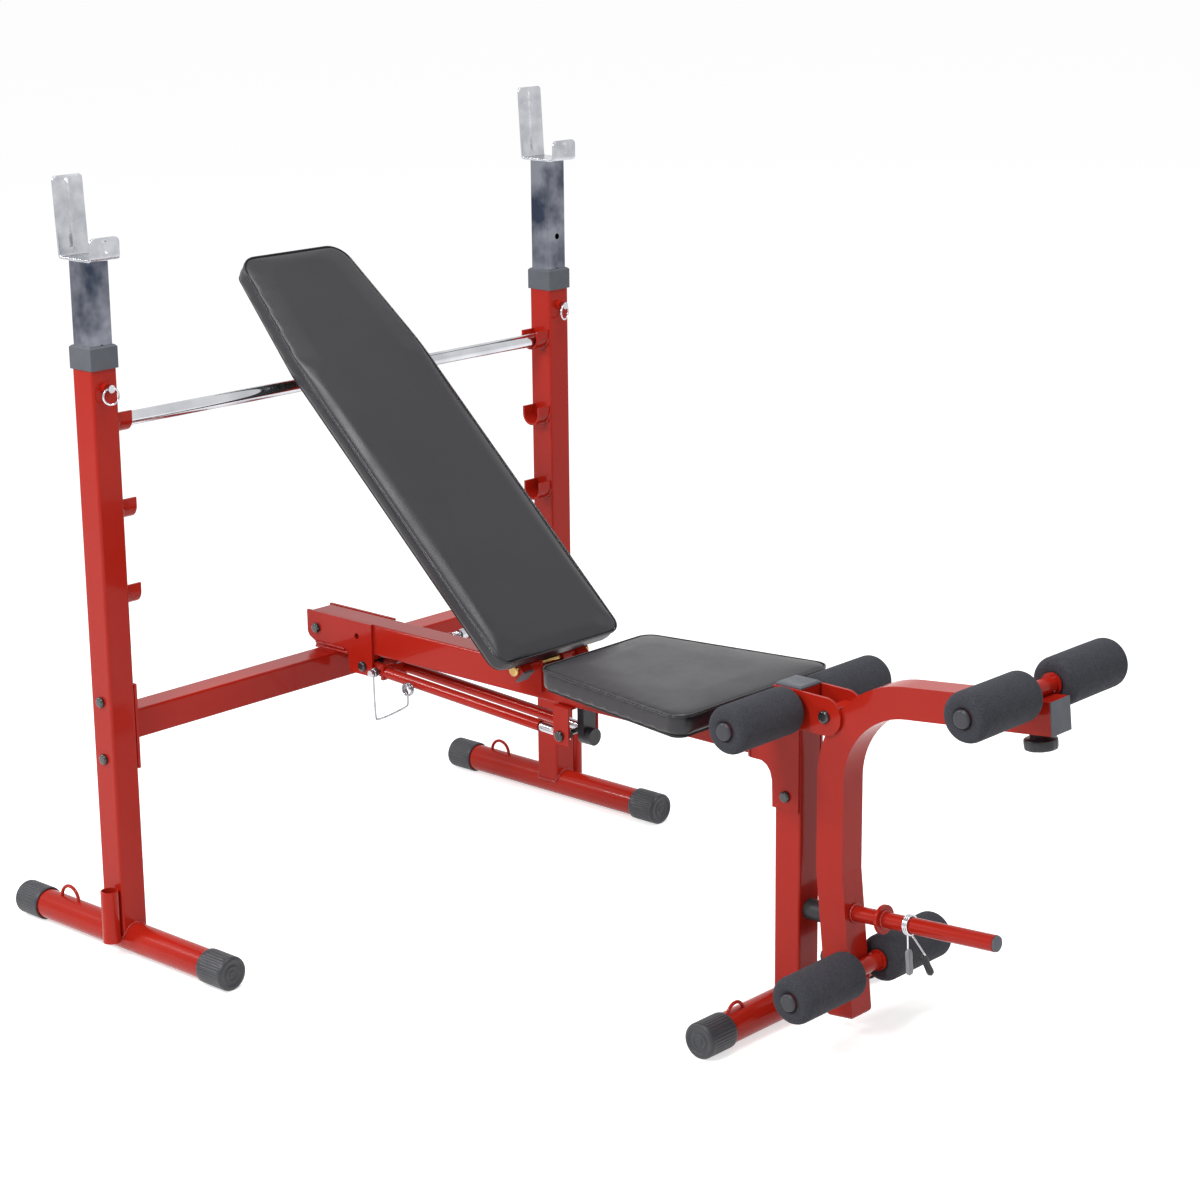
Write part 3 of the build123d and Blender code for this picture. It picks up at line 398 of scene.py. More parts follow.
# pads lie in mm; voxel and cap, the furthest that the cloth may move a point, are in metres
backPad = dict(lean=43.0, foot=(-522.72, 514.49), half=144.0, headHalf=117.0, taper=640.0, length=875.0,
               low=-33.0, thick=33.0, corner=24.0, sideBend=500.0, headCorner=38.0, voxel=0.0050, cap=0.0036,
               swell=2.6)
seatPad = dict(rearY=-587.0, frontY=-934.0, rearHalf=132.0, frontHalf=190.0, low=484.0, thick=38.0,
               corner=26.0, voxel=0.0050, cap=0.0046, swell=3.0)
stuffing = dict(pressure=4.0, frames=20, heldBase=12.0, seamBand=4.0, topClear=1.5, relax=0.5, relaxSteps=4)
seamShape = dict(high=5.6, low=8.2, r=1.25, sides=10, edge=4.5, inset=-0.1, step=4.0)


def padShell(outline, low, high, edge):
    # rings of the outline moved in and up: an eased lower edge, a straight wall, an eased upper edge
    normal = outwardNormals(outline)
    bend = np.linspace(0, pi / 2, 5)
    rows = [(edge * 0.6 * (1 - sin(w)), low + edge * 0.6 * (1 - cos(w))) for w in bend]
    rows += [(0.0, low + (high - low) * 0.5)]
    rows += [(edge * (1 - cos(w)), high - edge + edge * sin(w)) for w in bend]
    rows = np.asarray(rows)
    flat = outline[None] - normal[None] * rows[:, 0][:, None, None]
    height = np.broadcast_to(rows[:, 1][:, None, None], flat.shape[:2] + (1,))
    points = np.concatenate([flat, height], 2).reshape(-1, 3)
    return points, gridFaces(len(rows), len(outline), False, True) + endFaces(len(rows), len(outline))


def inflate(obj, voxel, cap, isHeld):
    # swell the shell like stuffed cloth, apart from the points that isHeld picks
    bpy.ops.object.select_all(action="DESELECT")
    obj.select_set(True)
    bpy.context.view_layer.objects.active = obj
    remesh = obj.modifiers.new("remesh", "REMESH")
    remesh.mode = "VOXEL"
    remesh.voxel_size = voxel
    bpy.ops.object.modifier_apply(modifier="remesh")
    count = len(obj.data.vertices)
    rest = np.empty(count * 3)
    obj.data.vertices.foreach_get("co", rest)
    rest = rest.reshape(-1, 3)
    group = obj.vertex_groups.new(name="held")
    group.add(np.nonzero(isHeld(rest))[0].tolist(), 1.0, "REPLACE")
    cloth = obj.modifiers.new("cloth", "CLOTH")
    cloth.settings.use_pressure = True
    cloth.settings.uniform_pressure_force = stuffing["pressure"]
    cloth.settings.effector_weights.gravity = 0.0
    cloth.settings.vertex_group_mass = "held"
    cloth.point_cache.frame_start, cloth.point_cache.frame_end = 1, stuffing["frames"]
    for step in range(1, stuffing["frames"] + 1):
        scene.frame_set(step)
    depsgraph = bpy.context.evaluated_depsgraph_get()
    swollen = np.empty(count * 3)
    obj.evaluated_get(depsgraph).data.vertices.foreach_get("co", swollen)
    shift = swollen.reshape(-1, 3) - rest
    size = np.linalg.norm(shift, axis=1)
    shift *= (np.minimum(size, cap) / np.maximum(size, 1e-9))[:, None]
    obj.modifiers.remove(cloth)
    obj.vertex_groups.clear()
    obj.data.vertices.foreach_set("co", (rest + shift).ravel())
    scene.frame_set(1)
    relax = obj.modifiers.new("relax", "SMOOTH")
    relax.factor, relax.iterations = stuffing["relax"], stuffing["relaxSteps"]
    bpy.ops.object.modifier_apply(modifier="relax")
    smooth = obj.modifiers.new("finer", "SUBSURF")
    smooth.levels = smooth.render_levels = 1
    obj.data.polygons.foreach_set("use_smooth", np.ones(len(obj.data.polygons), bool))


def makePad(name, outline, pad, body, node, toWorld):
    # the pad is swollen while it lies flat, then carried to its place
    low, top = pad["low"], pad["low"] + pad["thick"]
    high = top - pad["swell"]
    points, faces = padShell(outline / 1000, low / 1000, high / 1000, seamShape["edge"] / 1000)
    mesh = bpy.data.meshes.new(name)
    mesh.from_pydata(points.tolist(), [], faces)
    mesh.materials.append(materials["padVinyl"])
    obj = bpy.data.objects.new(name, mesh)
    scene.collection.objects.link(obj)
    fixNormals(obj)
    seamMiddle = (top - (seamShape["high"] + seamShape["low"]) / 2) / 1000
    band = stuffing["seamBand"] / 1000

    def isHeld(points):
        # the underside, and the wall beside the seam but not the upper face
        height = points[:, 2]
        base = height < (low + stuffing["heldBase"]) / 1000
        seam = (height > seamMiddle - band) & (height < seamMiddle + band)
        return base | (seam & (height < high / 1000 - stuffing["topClear"] / 1000))

    inflate(obj, pad["voxel"], pad["cap"], isHeld)
    count = len(obj.data.vertices)
    flat = np.empty(count * 3)
    obj.data.vertices.foreach_get("co", flat)
    obj.data.vertices.foreach_set("co", toWorld(flat.reshape(-1, 3) * 1000).ravel())
    obj.data.update()
    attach(obj, body)
    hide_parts(node)
    # two rolled edges of the seam that joins the top panel to the wall; their vinyl is lighter than the pad's
    # as a painted highlight along the edges
    line = outline - outwardNormals(outline) * seamShape["inset"]
    rolls = []
    for depth in (seamShape["high"], seamShape["low"]):
        path = np.concatenate([line, np.full((len(line), 1), top - depth)], 1)
        rolls.append(tubeAlong(path, seamShape["r"], seamShape["sides"], (0, 0, 1), closed=True))
    seamPoints, seamFaces = merged(rolls)
    addPiece(name + "Seam", toWorld(seamPoints), seamFaces, body, "paintedHighlightSeamVinyl")
    print(name, "made,", count, "vertices")


def tiltBack(points):
    # flat pad to its place: turned about x by the lean, then moved to its lower front edge
    a = radians(backPad["lean"])
    x, s, n = points[:, 0], points[:, 1], points[:, 2]
    return place(np.stack([x, backPad["foot"][0] + s * cos(a) - n * sin(a),
                           backPad["foot"][1] + s * sin(a) + n * cos(a)], 1))


def backShape(b):
    # straight sides that draw in towards the head past the taper line
    rightSide = [(b["half"], 0), (b["half"], b["taper"]), (b["headHalf"], b["length"])]
    leftSide = [(-x, y) for x, y in rightSide]
    corners = leftSide[:1] + rightSide + leftSide[:0:-1]
    bends = (b["corner"], b["corner"], b["sideBend"], b["headCorner"], b["headCorner"], b["sideBend"])
    return roundedPolygon(corners, bends, seamShape["step"])


def seatShape(q):
    # wider at the front than at the back
    corners = [(-q["frontHalf"], q["frontY"]), (q["frontHalf"], q["frontY"]), (q["rearHalf"], q["rearY"]),
               (-q["rearHalf"], q["rearY"])]
    return roundedPolygon(corners, [q["corner"]] * 4, seamShape["step"])


makePad("backCushion", backShape(backPad), backPad, "backrest", "back_pad", tiltBack)
makePad("seatCushion", seatShape(seatPad), seatPad, "frame", "seat_pad", place)

# foam rollers: a thick sleeve with softly rounded ends and a slightly uneven skin
roller = dict(r=37.8, bore=13.2, inner=36.4, outer=185.8, edge=12.0, count=72, uneven=0.007, faceR=21.0,
              faceIn=0.2, boreIn=1.2)


def foamProfile(length):
    bend = np.linspace(0, pi / 2, 7)
    e, r, half = roller["edge"], roller["r"], length / 2
    left = [(-half + e - e * sin(w), r - e + e * cos(w)) for w in bend][::-1]
    middle = [(t, r) for t in np.linspace(-half + e, half - e, 24)[1:-1]]
    right = [(half - e + e * sin(w), r - e + e * cos(w)) for w in bend]
    rightFace = [(half - roller["faceIn"], roller["faceR"]), (half - roller["boreIn"], roller["bore"])]
    leftFace = [(-t, radius) for t, radius in rightFace[::-1]]
    return leftFace + left + middle + right + rightFace


def makeFoam(node, y, z, side, seed):
    rng = np.random.default_rng(seed)
    phase = rng.uniform(0, 2 * pi, 4)
    profile = np.asarray(foamProfile(roller["outer"] - roller["inner"]))

    def uneven(angle, row):
        wave = np.sin(2 * angle + phase[0] + row * 0.11)
        wave = wave + np.sin(3 * angle + phase[1]) * np.sin(row * 0.21 + phase[2])
        return 1 + roller["uneven"] * wave * 0.5 * (row > 1) * (row < len(profile) - 2)

    middle = side * (roller["inner"] + roller["outer"]) / 2
    points, faces = latheSurface(profile, (middle, y, z), (1, 0, 0), roller["count"], uneven)
    # the bore's wall joins the first ring to the last
    ring = np.arange(roller["count"])
    nextOne = (ring + 1) % roller["count"]
    lastRing = (len(profile) - 1) * roller["count"]
    faces += np.stack([ring, lastRing + ring, lastRing + nextOne, nextOne], 1).tolist()
    obj = addPiece(node + "_sleeve", place(points), faces, node, "closedFoam", (node,))


def rollerLine(node):
    low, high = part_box(node)
    return ((low[1] + high[1]) / 2 - rackY) * 1000, (low[2] + high[2]) / 2 * 1000


for seed, row in enumerate(("seat", "lower", "upper")):
    for side, word in ((-1, "left"), (1, "right")):
        node = f"foam_{row}_{word}"
        y, z = rollerLine(node)
        makeFoam(node, y, z, side, seed * 2 + (side > 0))
print("rollers made")


# moulded pieces

footCap = dict(r=29.0, length=60.0, ribs=34, ribDepth=0.034, mouth=25.7)


def footCapSurface(origin, axis):
    # a ribbed cup turned about the tube's axis, with rings pressed in its closed face
    c = footCap
    rings = [(1.6, 1.0), (0.6, 4.2), (0.9, 5.0), (1.9, 5.6), (1.9, 10.4), (0.9, 11.2), (0.9, 13.0),
             (2.0, 13.8), (2.0, 19.6), (0.8, 20.6)]
    face = rings + [(0.0, 22.0), (0.0, 24.4), (0.5, 26.2), (1.8, 27.8), (3.6, 28.7), (5.4, 29.0)]
    wall = [(t, c["r"]) for t in np.linspace(8, c["length"] - 3, 12)]
    mouth = [(c["length"] - 1.2, c["r"] - 0.3), (c["length"], c["r"] - 1.2), (c["length"], c["mouth"]),
             (c["length"] - 4, c["mouth"]), (6.0, c["mouth"])]
    profile = np.asarray(face + wall + mouth)
    low, high = len(face), len(face) + len(wall) - 1

    def ribs(angle, row):
        groove = np.clip(np.cos(c["ribs"] * angle) * 1.6 - 0.5, 0, 1)
        fade = np.clip((row - low) / 1.5 + 0.7, 0, 1) * np.clip((high - row) / 1.5, 0, 1)
        return 1 - c["ribDepth"] * groove * fade

    return cappedLathe(profile, origin, axis, c["ribs"] * 6, ribs)


uprightX, footHalf, legY, frontHalf, footZ = 528.5, 272.0, -1012.0, 238.0, 29.0
capSpots = [((x, way * footHalf, footZ), (0, -way, 0)) for x in (-uprightX, uprightX) for way in (-1, 1)]
capSpots += [((way * frontHalf, legY, footZ), (-way, 0, 0)) for way in (-1, 1)]
capPoints, capFaces = merged([footCapSurface(spot, axis) for spot, axis in capSpots])
addPiece("ribbedFootCaps", place(capPoints), capFaces, "frame", "capGrey", ("foot_caps",))

# the arm's upper end: its middle line stands at z over y and rises forwards
armEnd = dict(y=-1223.0, z=560.0, rise=radians(5.95))
armUp = (0, -sin(armEnd["rise"]), -cos(armEnd["rise"]))
knob = dict(y=-1449.0, lobes=10, lobeDepth=0.02, firstFluted=8, lastFluted=13, count=120)


def knobSurface():
    # a flat wheel on a neck, its rim fluted; distances run down from the arm's middle line
    foot = (0, knob["y"], armEnd["z"] + (armEnd["y"] - knob["y"]) * tan(armEnd["rise"]))
    stem = [(-13, 1.0), (-13, 4.9), (25.2, 4.9), (25.4, 15.4), (26.4, 16.0), (34.6, 16.2), (35.2, 22.4)]
    rim = [(36.0, 24.4), (37.4, 25.2), (41.0, 25.4), (46.0, 25.2), (49.4, 24.9), (51.0, 24.0), (51.8, 22.0)]
    dish = [(52.0, 19.0), (51.2, 18.0), (50.8, 16.6), (50.8, 1.0)]

    def flutes(angle, row):
        fluted = (row >= knob["firstFluted"]) & (row <= knob["lastFluted"])
        return 1 - knob["lobeDepth"] * np.clip(np.cos(knob["lobes"] * angle), 0, 1) * fluted

    return cappedLathe(stem + rim + dish, foot, armUp, knob["count"], flutes)


knobPoints, knobFaces = knobSurface()
addPiece("flutedKnob", place(knobPoints), knobFaces, "arm_knob", "blackPlastic",
         ("arm_knob",))
print("moulded pieces made")


# bar catches

catch = dict(half=29.0, plate=4.0, frontY=-44.0, backY=38.0, lip=39.0, back=132.0, lean=3.5, bend=7.0,
             ribHalf=4.2, ribRise=1.5, corner=9.0, backCorner=5.0)


def catchSurface(x, bottom):
    # the outer skin is a bent line carried across the sheet; the inner one is its copy one plate inside
    c = catch
    rows = []
    bend = np.linspace(0, pi / 2, 7)
    r = c["bend"]
    frontTop = c["lip"] - 1.5
    for t in np.linspace(frontTop, r, 16):
        rows.append((c["frontY"], t, 0.0, 1.0))
    for w in bend[1:]:
        rows.append((c["frontY"] + r - r * cos(w), r - r * sin(w), sin(w), cos(w)))
    for t in np.linspace(c["frontY"] + r, c["backY"] - r, 10)[1:]:
        rows.append((t, 0.0, 1.0, 0.0))
    a = radians(c["lean"])
    for w in np.linspace(0, pi / 2 - a, 7)[1:]:
        rows.append((c["backY"] - r + r * sin(w), r - r * cos(w), cos(w), -sin(w)))
    endY, endZ = rows[-1][0], rows[-1][1]
    for t in np.linspace(0, c["back"] - r - 2, 34)[1:]:
        rows.append((endY + t * sin(a), endZ + t * cos(a), sin(a), -cos(a)))
    line = np.asarray(rows)
    outer = line[:, :2]
    inward = np.stack([line[:, 3], line[:, 2]], 1)
    along = np.concatenate([[0], np.cumsum(np.linalg.norm(np.diff(outer, axis=0), axis=1))])
    across = np.linspace(-1, 1, 31)
    fromEnd = np.minimum(along, along[-1] - along)
    reach = np.where(along < along[-1] / 2, c["corner"], c["backCorner"])
    arc = np.sqrt(np.clip(reach ** 2 - (reach - fromEnd) ** 2, 0, None))
    trim = np.where(fromEnd < reach, reach - arc, 0.0)
    wide = (c["half"] - trim)[:, None] * across[None]
    # the pressed rib rises in the middle of the lip and of the back wall
    lipZone = np.clip((along - 4) / 4, 0, 1) * np.clip((26 - along) / 4, 0, 1)
    backStart = along[-1] - (c["back"] - 16)
    backZone = np.clip((along - backStart) / 5, 0, 1) * np.clip((along[-1] - 5 - along) / 5, 0, 1)
    rib = c["ribRise"] * np.clip(1.6 - np.abs(wide) / c["ribHalf"], 0, 1) * (lipZone + backZone)[:, None]
    skins = []
    for depth in (0.0, c["plate"]):
        yz = outer[:, None] + inward[:, None] * (depth + rib[..., None])
        skins.append(np.concatenate([x + wide[..., None], yz + np.array([0, bottom])], 2))
    rows, cols = wide.shape
    points = np.concatenate([skins[0], skins[1][:, ::-1]], 1).reshape(-1, 3)
    faces = gridFaces(rows, 2 * cols, False, True)
    # the sheet's two ends, closed by a strip of quads from skin to skin
    for first in (0, (rows - 1) * 2 * cols):
        last = first + 2 * cols - 1
        faces += [[first + k, first + k + 1, last - 1 - k, last - k] for k in range(cols - 1)]
    return points, faces


for word, x in (("left", -uprightX), ("right", uprightX)):
    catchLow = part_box(f"catch_{word}")[0][2] * 1000
    points, faces = catchSurface(x, catchLow)
    piece = addPiece(f"barCatch_{word}", place(points), faces, f"post_{word}", "zincPlate",
                     (f"catch_{word}",))
    soften = piece.modifiers.new("edge", "BEVEL")
    soften.width, soften.segments, soften.limit_method = 0.0005, 2, "ANGLE"
    soften.angle_limit = radians(50)
print("catches made")


# wires and springs

postTilt = radians(4)
postRoot = np.array([0, -1100.97, 195.0])
postWay = np.array([0, -cos(postTilt), sin(postTilt)])
postDown = np.array([0, -sin(postTilt), -cos(postTilt)])
clip = dict(wire=1.6, sides=10, ring=14.8, at=124.0, turns=3.0, pitch=3.3, steps=110, nearLeg=50.0,
            farLeg=44.0, farReach=32.0)


def onPost(along, down):
    # a point so far along the weight post's axis and so far below it
    return postRoot + postWay * along + postDown * down


def clipWire():
    # the helix r cos, r sin about the post's axis, advancing by the pitch, with straight legs leaving it
    c = clip
    turn = np.linspace(0, 2 * pi * c["turns"], c["steps"])
    coil = (postRoot[None] + postWay[None] * (c["at"] + turn / (2 * pi) * c["pitch"])[:, None]
            + c["ring"] * (np.cos(turn)[:, None] * postDown + np.sin(turn)[:, None] * np.array([1.0, 0, 0])))
    nearEnd = onPost(c["at"] - 1.0, c["nearLeg"])
    nearLeg = np.linspace(nearEnd, coil[0] + (nearEnd - coil[0]) * 0.06, 10)
    farStart = coil[-1] + np.array([-1.0, 0, 0]) + postDown * 1.5
    farLeg = np.linspace(farStart, onPost(c["at"] + c["farReach"], c["farLeg"]), 10)
    return np.concatenate([nearLeg, coil, farLeg])


points, faces = tubeAlong(clipWire(), clip["wire"], clip["sides"], postWay * 0.9 + np.array([0.31, 0, 0.07]))
addPiece("clipCoil", place(points), faces, "clip", "brightChrome", ("clip_spring",))

grip = dict(thick=4.6, wide=6.4, rows=18, count=28, waist=0.12)


def gripSurface(top, bottom):
    # a rounded bar between two points, a squared ellipse across, with round ends and a slight waist
    top, bottom = np.asarray(top, float), np.asarray(bottom, float)
    t = np.linspace(0, 1, grip["rows"])
    fill = np.sqrt(np.clip(1 - np.abs(2 * t - 1) ** 6, 0.02, 1)) * (1 - grip["waist"] * np.sin(pi * t) ** 2)
    cross = np.array([1.0, 0, 0])
    depth = np.cross((bottom - top) / np.linalg.norm(bottom - top), cross)
    angle = np.linspace(0, 2 * pi, grip["count"], endpoint=False)
    squareX = np.sign(np.cos(angle)) * np.abs(np.cos(angle)) ** 0.6 * grip["wide"]
    squareY = np.sign(np.sin(angle)) * np.abs(np.sin(angle)) ** 0.6 * grip["thick"]
    ring = squareX[:, None] * cross + squareY[:, None] * depth
    points = top + t[:, None, None] * (bottom - top) + fill[:, None, None] * ring
    faces = gridFaces(grip["rows"], grip["count"], False, True) + endFaces(grip["rows"], grip["count"])
    return points.reshape(-1, 3), faces


points, faces = gripSurface(onPost(124.9, 39), onPost(125.6, 81.5))
addPiece("greyGrip", place(points), faces, "clip", "gripGrey", ("clip_grips",))
points, faces = gripSurface(onPost(150.6, 42.8), onPost(166.8, 73.4))
addPiece("blackGrip", place(points), faces, "clip", "blackPlastic", ("clip_grips",))

bail = dict(x=-43.0, wire=1.8, sides=10, eye=(-103.9, 394.7), eyeR=6.2, eyePoints=40, coil=(-196, 384),
            coilR=10.0, coilPoints=90, turns=2.6, pitch=4.1, cornerCuts=3)


def bailPath():
    # a bent wire in one plane: down from the pin, forward along the bench, round corners, back up to its coil
    corner = [(-104, 391), (-106, 315), (-111, 309), (-186, 349), (-190, 357), (-189, 376)]
    corner = np.asarray(corner, float)
    for _ in range(bail["cornerCuts"]):
        a, c = corner[:-1], corner[1:]
        mid = np.stack([a * 0.75 + c * 0.25, a * 0.25 + c * 0.75], 1).reshape(-1, 2)
        corner = np.concatenate([corner[:1], mid, corner[-1:]])
    coil = np.linspace(0, 2 * pi * bail["turns"], bail["coilPoints"])
    yz = np.array(bail["coil"]) + bail["coilR"] * np.stack([np.cos(coil - 0.9), np.sin(coil - 0.9)], 1)
    x = bail["x"] - bail["pitch"] * coil / (2 * pi)
    front = np.concatenate([np.full((len(corner), 1), bail["x"]), corner], 1)
    return np.concatenate([front, np.concatenate([x[:, None], yz], 1)])


def bailEye():
    # the small ring that hangs on the pin
    turn = np.linspace(0, 2 * pi, bail["eyePoints"], endpoint=False)
    y = bail["eye"][0] + bail["eyeR"] * np.cos(turn)
    z = bail["eye"][1] + bail["eyeR"] * np.sin(turn)
    return np.stack([np.full(len(turn), bail["x"]), y, z], 1)


points, faces = tubeAlong(bailPath(), bail["wire"], bail["sides"], (1, 0, 0.02))
eyePoints, eyeFaces = tubeAlong(bailEye(), bail["wire"], bail["sides"], (1, 0, 0), closed=True)
points, faces = merged([(points, faces), (eyePoints, eyeFaces)])
addPiece("wireBail", place(points), faces, "wire_pin", "wireSteel", ("wire_bail",))
print("wires made")


# weld beads

bead = dict(r=2.3, pitch=2.6, wave=0.13)


def beadAlong(path, reference, closed=False):
    # a thin roll along a joint whose radius rises and falls once for each pitch of its length
    path = np.asarray(path, float)
    line = np.concatenate([path, path[:1]]) if closed else path
    along = np.concatenate([[0], np.cumsum(np.linalg.norm(np.diff(line, axis=0), axis=1))])
    even = np.linspace(0, along[-1], max(8, int(along[-1] / (bead["pitch"] / 4))), endpoint=not closed)
    dense = np.stack([np.interp(even, along, line[:, k]) for k in range(3)], 1)
    radius = bead["r"] * (1 + bead["wave"] * np.sin(2 * pi * even / bead["pitch"]))
    return tubeAlong(dense, radius, 8, reference, closed)


def squareLoop(centre, half, normalAxis):
    # a square with cut corners, square to the x or z axis
    k = half * 0.86
    quarter = [(-half, -k), (-half, k), (-k, half), (k, half)]
    flat = np.array(quarter + [(-a, -c) for a, c in quarter])
    zero = np.zeros((8, 1))
    if normalAxis == "x":
        return np.concatenate([zero, flat], 1) + np.asarray(centre, float)
    return np.concatenate([flat, zero], 1) + np.asarray(centre, float)


saddle = dict(half=25.4, footR=25.7, reach=25.0, lift=0.5)


def saddleLoop(x, y, alongY):
    # the line where a square tube stands on a round one
    flat = squareLoop((0, 0, 0), saddle["half"], "z")[:, :2]
    line = np.concatenate([flat, flat[:1]])
    t = np.linspace(0, 8, 97)[:-1]
    flat = np.stack([np.interp(t, np.arange(9), line[:, k]) for k in (0, 1)], 1)
    offset = flat[:, 0] if alongY else flat[:, 1]
    offset = np.minimum(np.abs(offset), saddle["reach"])
    z = footZ + np.sqrt(np.clip(saddle["footR"] ** 2 - offset ** 2, 0, None)) + saddle["lift"]
    return np.stack([flat[:, 0] + x, flat[:, 1] + y, z], 1)


# straight beads on each side of the bench as a line's two ends, x outwards from mid-width, with a reference
sideBeads = [((31.0, -18, 420.4), (31.0, 55, 420.4), (0, 0, 1)),
             ((30.0, -26, 414.6), (30.0, 57, 412.2), (0, 0, 1)),
             ((30.4, -940.5, 473), (30.4, -940.5, 419), (1, 0.2, 0))]
crossEnd = dict(inset=31.0, y=23.6, z=387.0, half=25.3)
cradle = dict(inset=26.0, topZ=903.59, drop=143.0, r=20.9, levels=3, points=30)


def cradleBead(face, z):
    # half a turn under the round back of a cradle
    turn = np.linspace(pi * 1.02, pi * 1.98, cradle["points"])
    y, rise = cradle["r"] * np.cos(turn), cradle["r"] * np.sin(turn)
    return beadAlong(np.stack([np.full(cradle["points"], face), y, z + rise], 1), (1, 0, 0))


frameBeads = []
for x in (-uprightX, uprightX):
    frameBeads.append(beadAlong(saddleLoop(x, 0, True), (0, 0, 1), closed=True))
    crossSpot = ((abs(x) - crossEnd["inset"]) * np.sign(x), crossEnd["y"], crossEnd["z"])
    frameBeads.append(beadAlong(squareLoop(crossSpot, crossEnd["half"], "x"), (1, 0, 0), closed=True))
frameBeads.append(beadAlong(saddleLoop(0, legY, False), (0, 0, 1), closed=True))
for side in (-1, 1):
    for start, end, reference in sideBeads:
        frameBeads.append(beadAlong([(side * start[0], *start[1:]), (side * end[0], *end[1:])], reference))
    for level in range(cradle["levels"]):
        z = cradle["topZ"] - cradle["drop"] * level
        frameBeads.append(cradleBead(side * (uprightX - cradle["inset"]), z))
points, faces = merged(frameBeads)
addPiece("frameWelds", place(points), faces, "frame", "weldEnamel")

armWeld = dict(postRings=((26.5, 13.4), (77.2, 13.2), (83.8, 13.2)), tubeX=24.0, tubeR=12.6, points=60,
               arcPoints=24, lowStart=-1.2, highStart=pi + 0.4)
turn = np.linspace(0, 2 * pi, armWeld["points"], endpoint=False)


def tubeBead(x, y, z, start):
    # part of a turn where a roller tube leaves the arm's side
    arc = turn[:armWeld["arcPoints"]] + start
    line = np.stack([np.full(len(arc), x), y + armWeld["tubeR"] * np.cos(arc),
                     z + armWeld["tubeR"] * np.sin(arc)], 1)
    return beadAlong(line, (1, 0, 0))


armBeads = []
for along, r in armWeld["postRings"]:
    across = np.cos(turn)[:, None] * np.array([1.0, 0, 0]) + np.sin(turn)[:, None] * postDown
    armBeads.append(beadAlong(postRoot[None] + postWay[None] * along + r * across, postWay, closed=True))
for x in (-armWeld["tubeX"], armWeld["tubeX"]):
    armBeads.append(tubeBead(x, *rollerLine("foam_lower_left"), armWeld["lowStart"]))
    armBeads.append(tubeBead(x, *rollerLine("foam_upper_left"), armWeld["highStart"]))
points, faces = merged(armBeads)
addPiece("armWelds", place(points), faces, "developer", "weldEnamel")
print("welds made")


# stage, light and camera

stageLook = dict(floorSize=30.0, floorColor=(0.86, 0.86, 0.86), lift=0.62, worldLight=0.42)


def plainSight(tree):
    # 1 for a ray from the camera, a glossy one or one passed through, else 0, so that these see plain white
    rays = tree.nodes.new("ShaderNodeLightPath")
    direct = tree.nodes.new("ShaderNodeMath")
    direct.operation = "MAXIMUM"
    anySight = tree.nodes.new("ShaderNodeMath")
    anySight.operation = "MAXIMUM"
    tree.links.new(rays.outputs["Is Camera Ray"], direct.inputs[0])
    tree.links.new(rays.outputs["Is Glossy Ray"], direct.inputs[1])
    tree.links.new(direct.outputs[0], anySight.inputs[0])
    tree.links.new(rays.outputs["Is Transmission Ray"], anySight.inputs[1])
    return anySight.outputs[0]


floorMesh = bpy.data.meshes.new("floor")
edge = stageLook["floorSize"]
floorCorners = [(-edge, -edge, 0), (edge, -edge, 0), (edge, edge, 0), (-edge, edge, 0)]
floorMesh.from_pydata(floorCorners, [], [(0, 1, 2, 3)])
floor = bpy.data.objects.new("floor", floorMesh)
scene.collection.objects.link(floor)
floorMat = bpy.data.materials.new("paleFloor")
floorMat.use_nodes = True
tree = floorMat.node_tree
shader = tree.nodes["Principled BSDF"]
shader.inputs["Base Color"].default_value = (*stageLook["floorColor"], 1)
shader.inputs["Roughness"].default_value = 0.9
shader.inputs["Specular IOR Level"].default_value = 0.0
shader.inputs["Emission Color"].default_value = (1, 1, 1, 1)
lift = tree.nodes.new("ShaderNodeMath")
lift.operation = "MULTIPLY"
lift.inputs[1].default_value = stageLook["lift"]
tree.links.new(plainSight(tree), lift.inputs[0])
tree.links.new(lift.outputs[0], shader.inputs["Emission Strength"])
floorMesh.materials.append(floorMat)

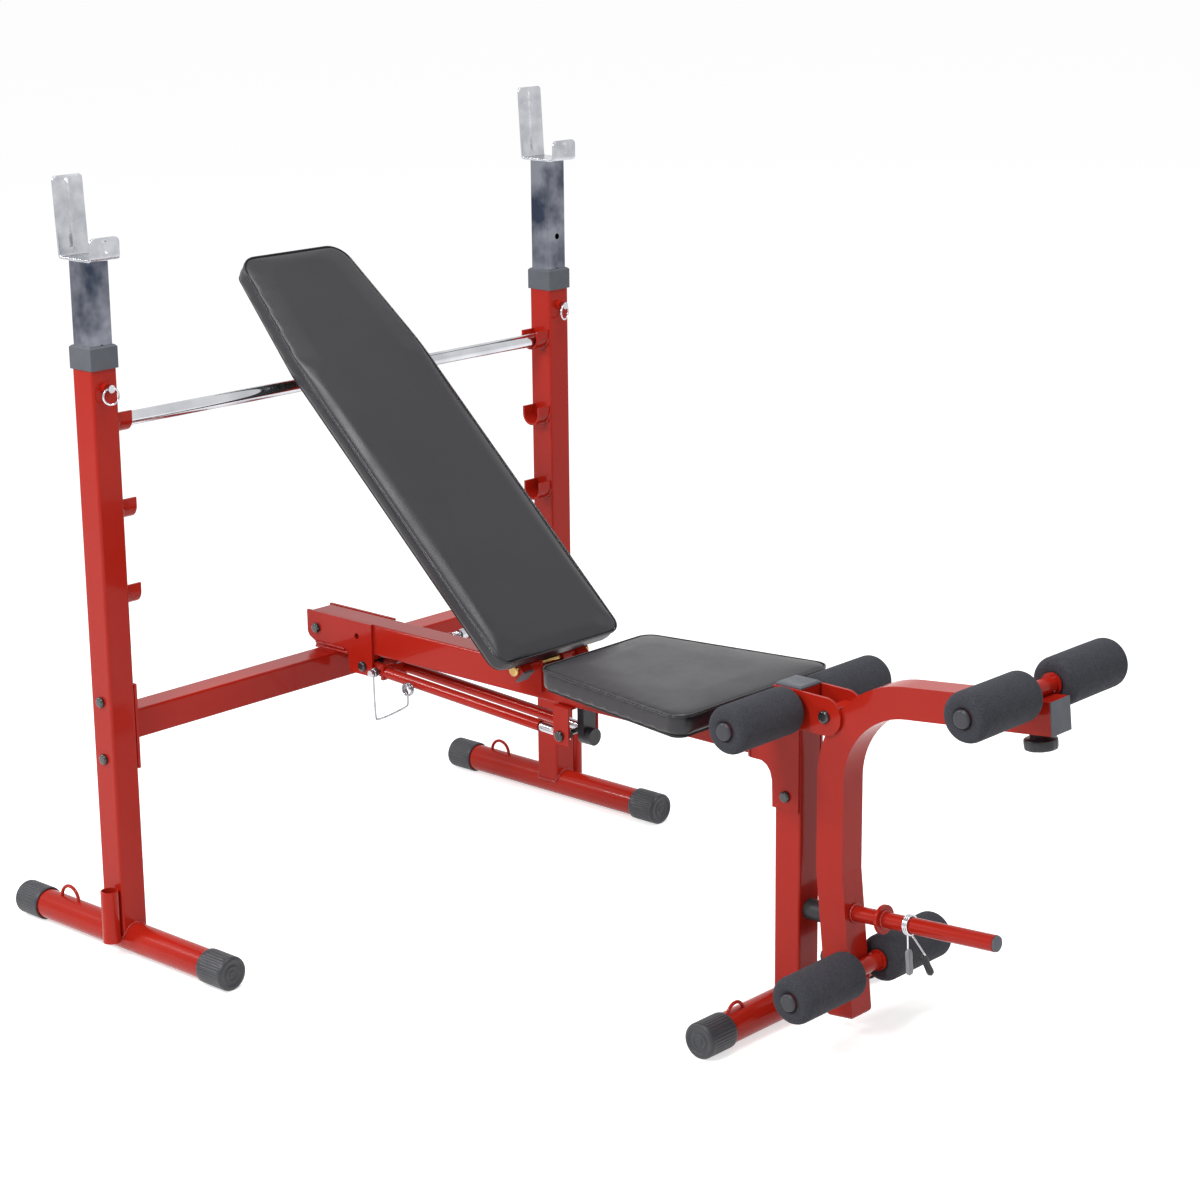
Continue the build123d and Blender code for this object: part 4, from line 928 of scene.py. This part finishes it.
world = bpy.data.worlds.new("studio")
scene.world = world
world.use_nodes = True
tree = world.node_tree
background = tree.nodes["Background"]
background.inputs["Color"].default_value = (1, 1, 1, 1)
strength = tree.nodes.new("ShaderNodeMapRange")
strength.inputs["To Min"].default_value = stageLook["worldLight"]
strength.inputs["To Max"].default_value = 1.0
tree.links.new(plainSight(tree), strength.inputs["Value"])
tree.links.new(strength.outputs["Result"], background.inputs["Strength"])

lamps = {
    "keyLamp": dict(at=(-3.4, -0.2, 3.2), aim=(0, -0.2, 0.5), size=1.3, power=95),
    "rimLamp": dict(at=(-2.6, 3.3, 2.9), aim=(0, 0, 0.3), size=1.0, power=70),
    "frontLamp": dict(at=(1.6, -4.2, 2.6), aim=(0, -0.4, 0.5), size=1.2, power=20),
    "topLamp": dict(at=(0.2, -0.6, 4.2), aim=(0, 0, 0.4), size=1.6, power=62),
}
for name, spec in lamps.items():
    data = bpy.data.lights.new(name, "AREA")
    data.shape, data.size, data.energy = "DISK", spec["size"], spec["power"]
    lamp = bpy.data.objects.new(name, data)
    lamp.location = spec["at"]
    lamp.rotation_euler = (Vector(spec["aim"]) - Vector(spec["at"])).to_track_quat("-Z", "Y").to_euler()
    scene.collection.objects.link(lamp)

# focal is the focal length in frame widths
camera = dict(at=(-3.2691, -3.5808, 1.7985), azimuth=-47.66, pitch=15.106, roll=-0.589, focal=2823.9 / 1200.0,
              sensor=36.0)


def aimCamera(c):
    # view direction from azimuth and pitch, then the picture turned by roll
    a, e, r = radians(c["azimuth"]), radians(c["pitch"]), radians(c["roll"])
    forward = -np.array([sin(a) * cos(e), -cos(a) * cos(e), sin(e)])
    right = np.array([cos(a), sin(a), 0.0])
    up = np.cross(right, forward)
    picRight = right * cos(r) + up * sin(r)
    picUp = -right * sin(r) + up * cos(r)
    at = np.asarray(c["at"]) + np.array([0, rackY, 0])
    turn = np.eye(4)
    turn[:3, 0], turn[:3, 1], turn[:3, 2], turn[:3, 3] = picRight, picUp, -forward, at
    data = bpy.data.cameras.new("camera")
    data.sensor_width = c["sensor"]
    data.lens = c["sensor"] * c["focal"]
    data.clip_end = 100
    obj = bpy.data.objects.new("camera", data)
    obj.matrix_world = Matrix(turn.tolist())
    scene.collection.objects.link(obj)
    scene.camera = obj


aimCamera(camera)
print("stage set")
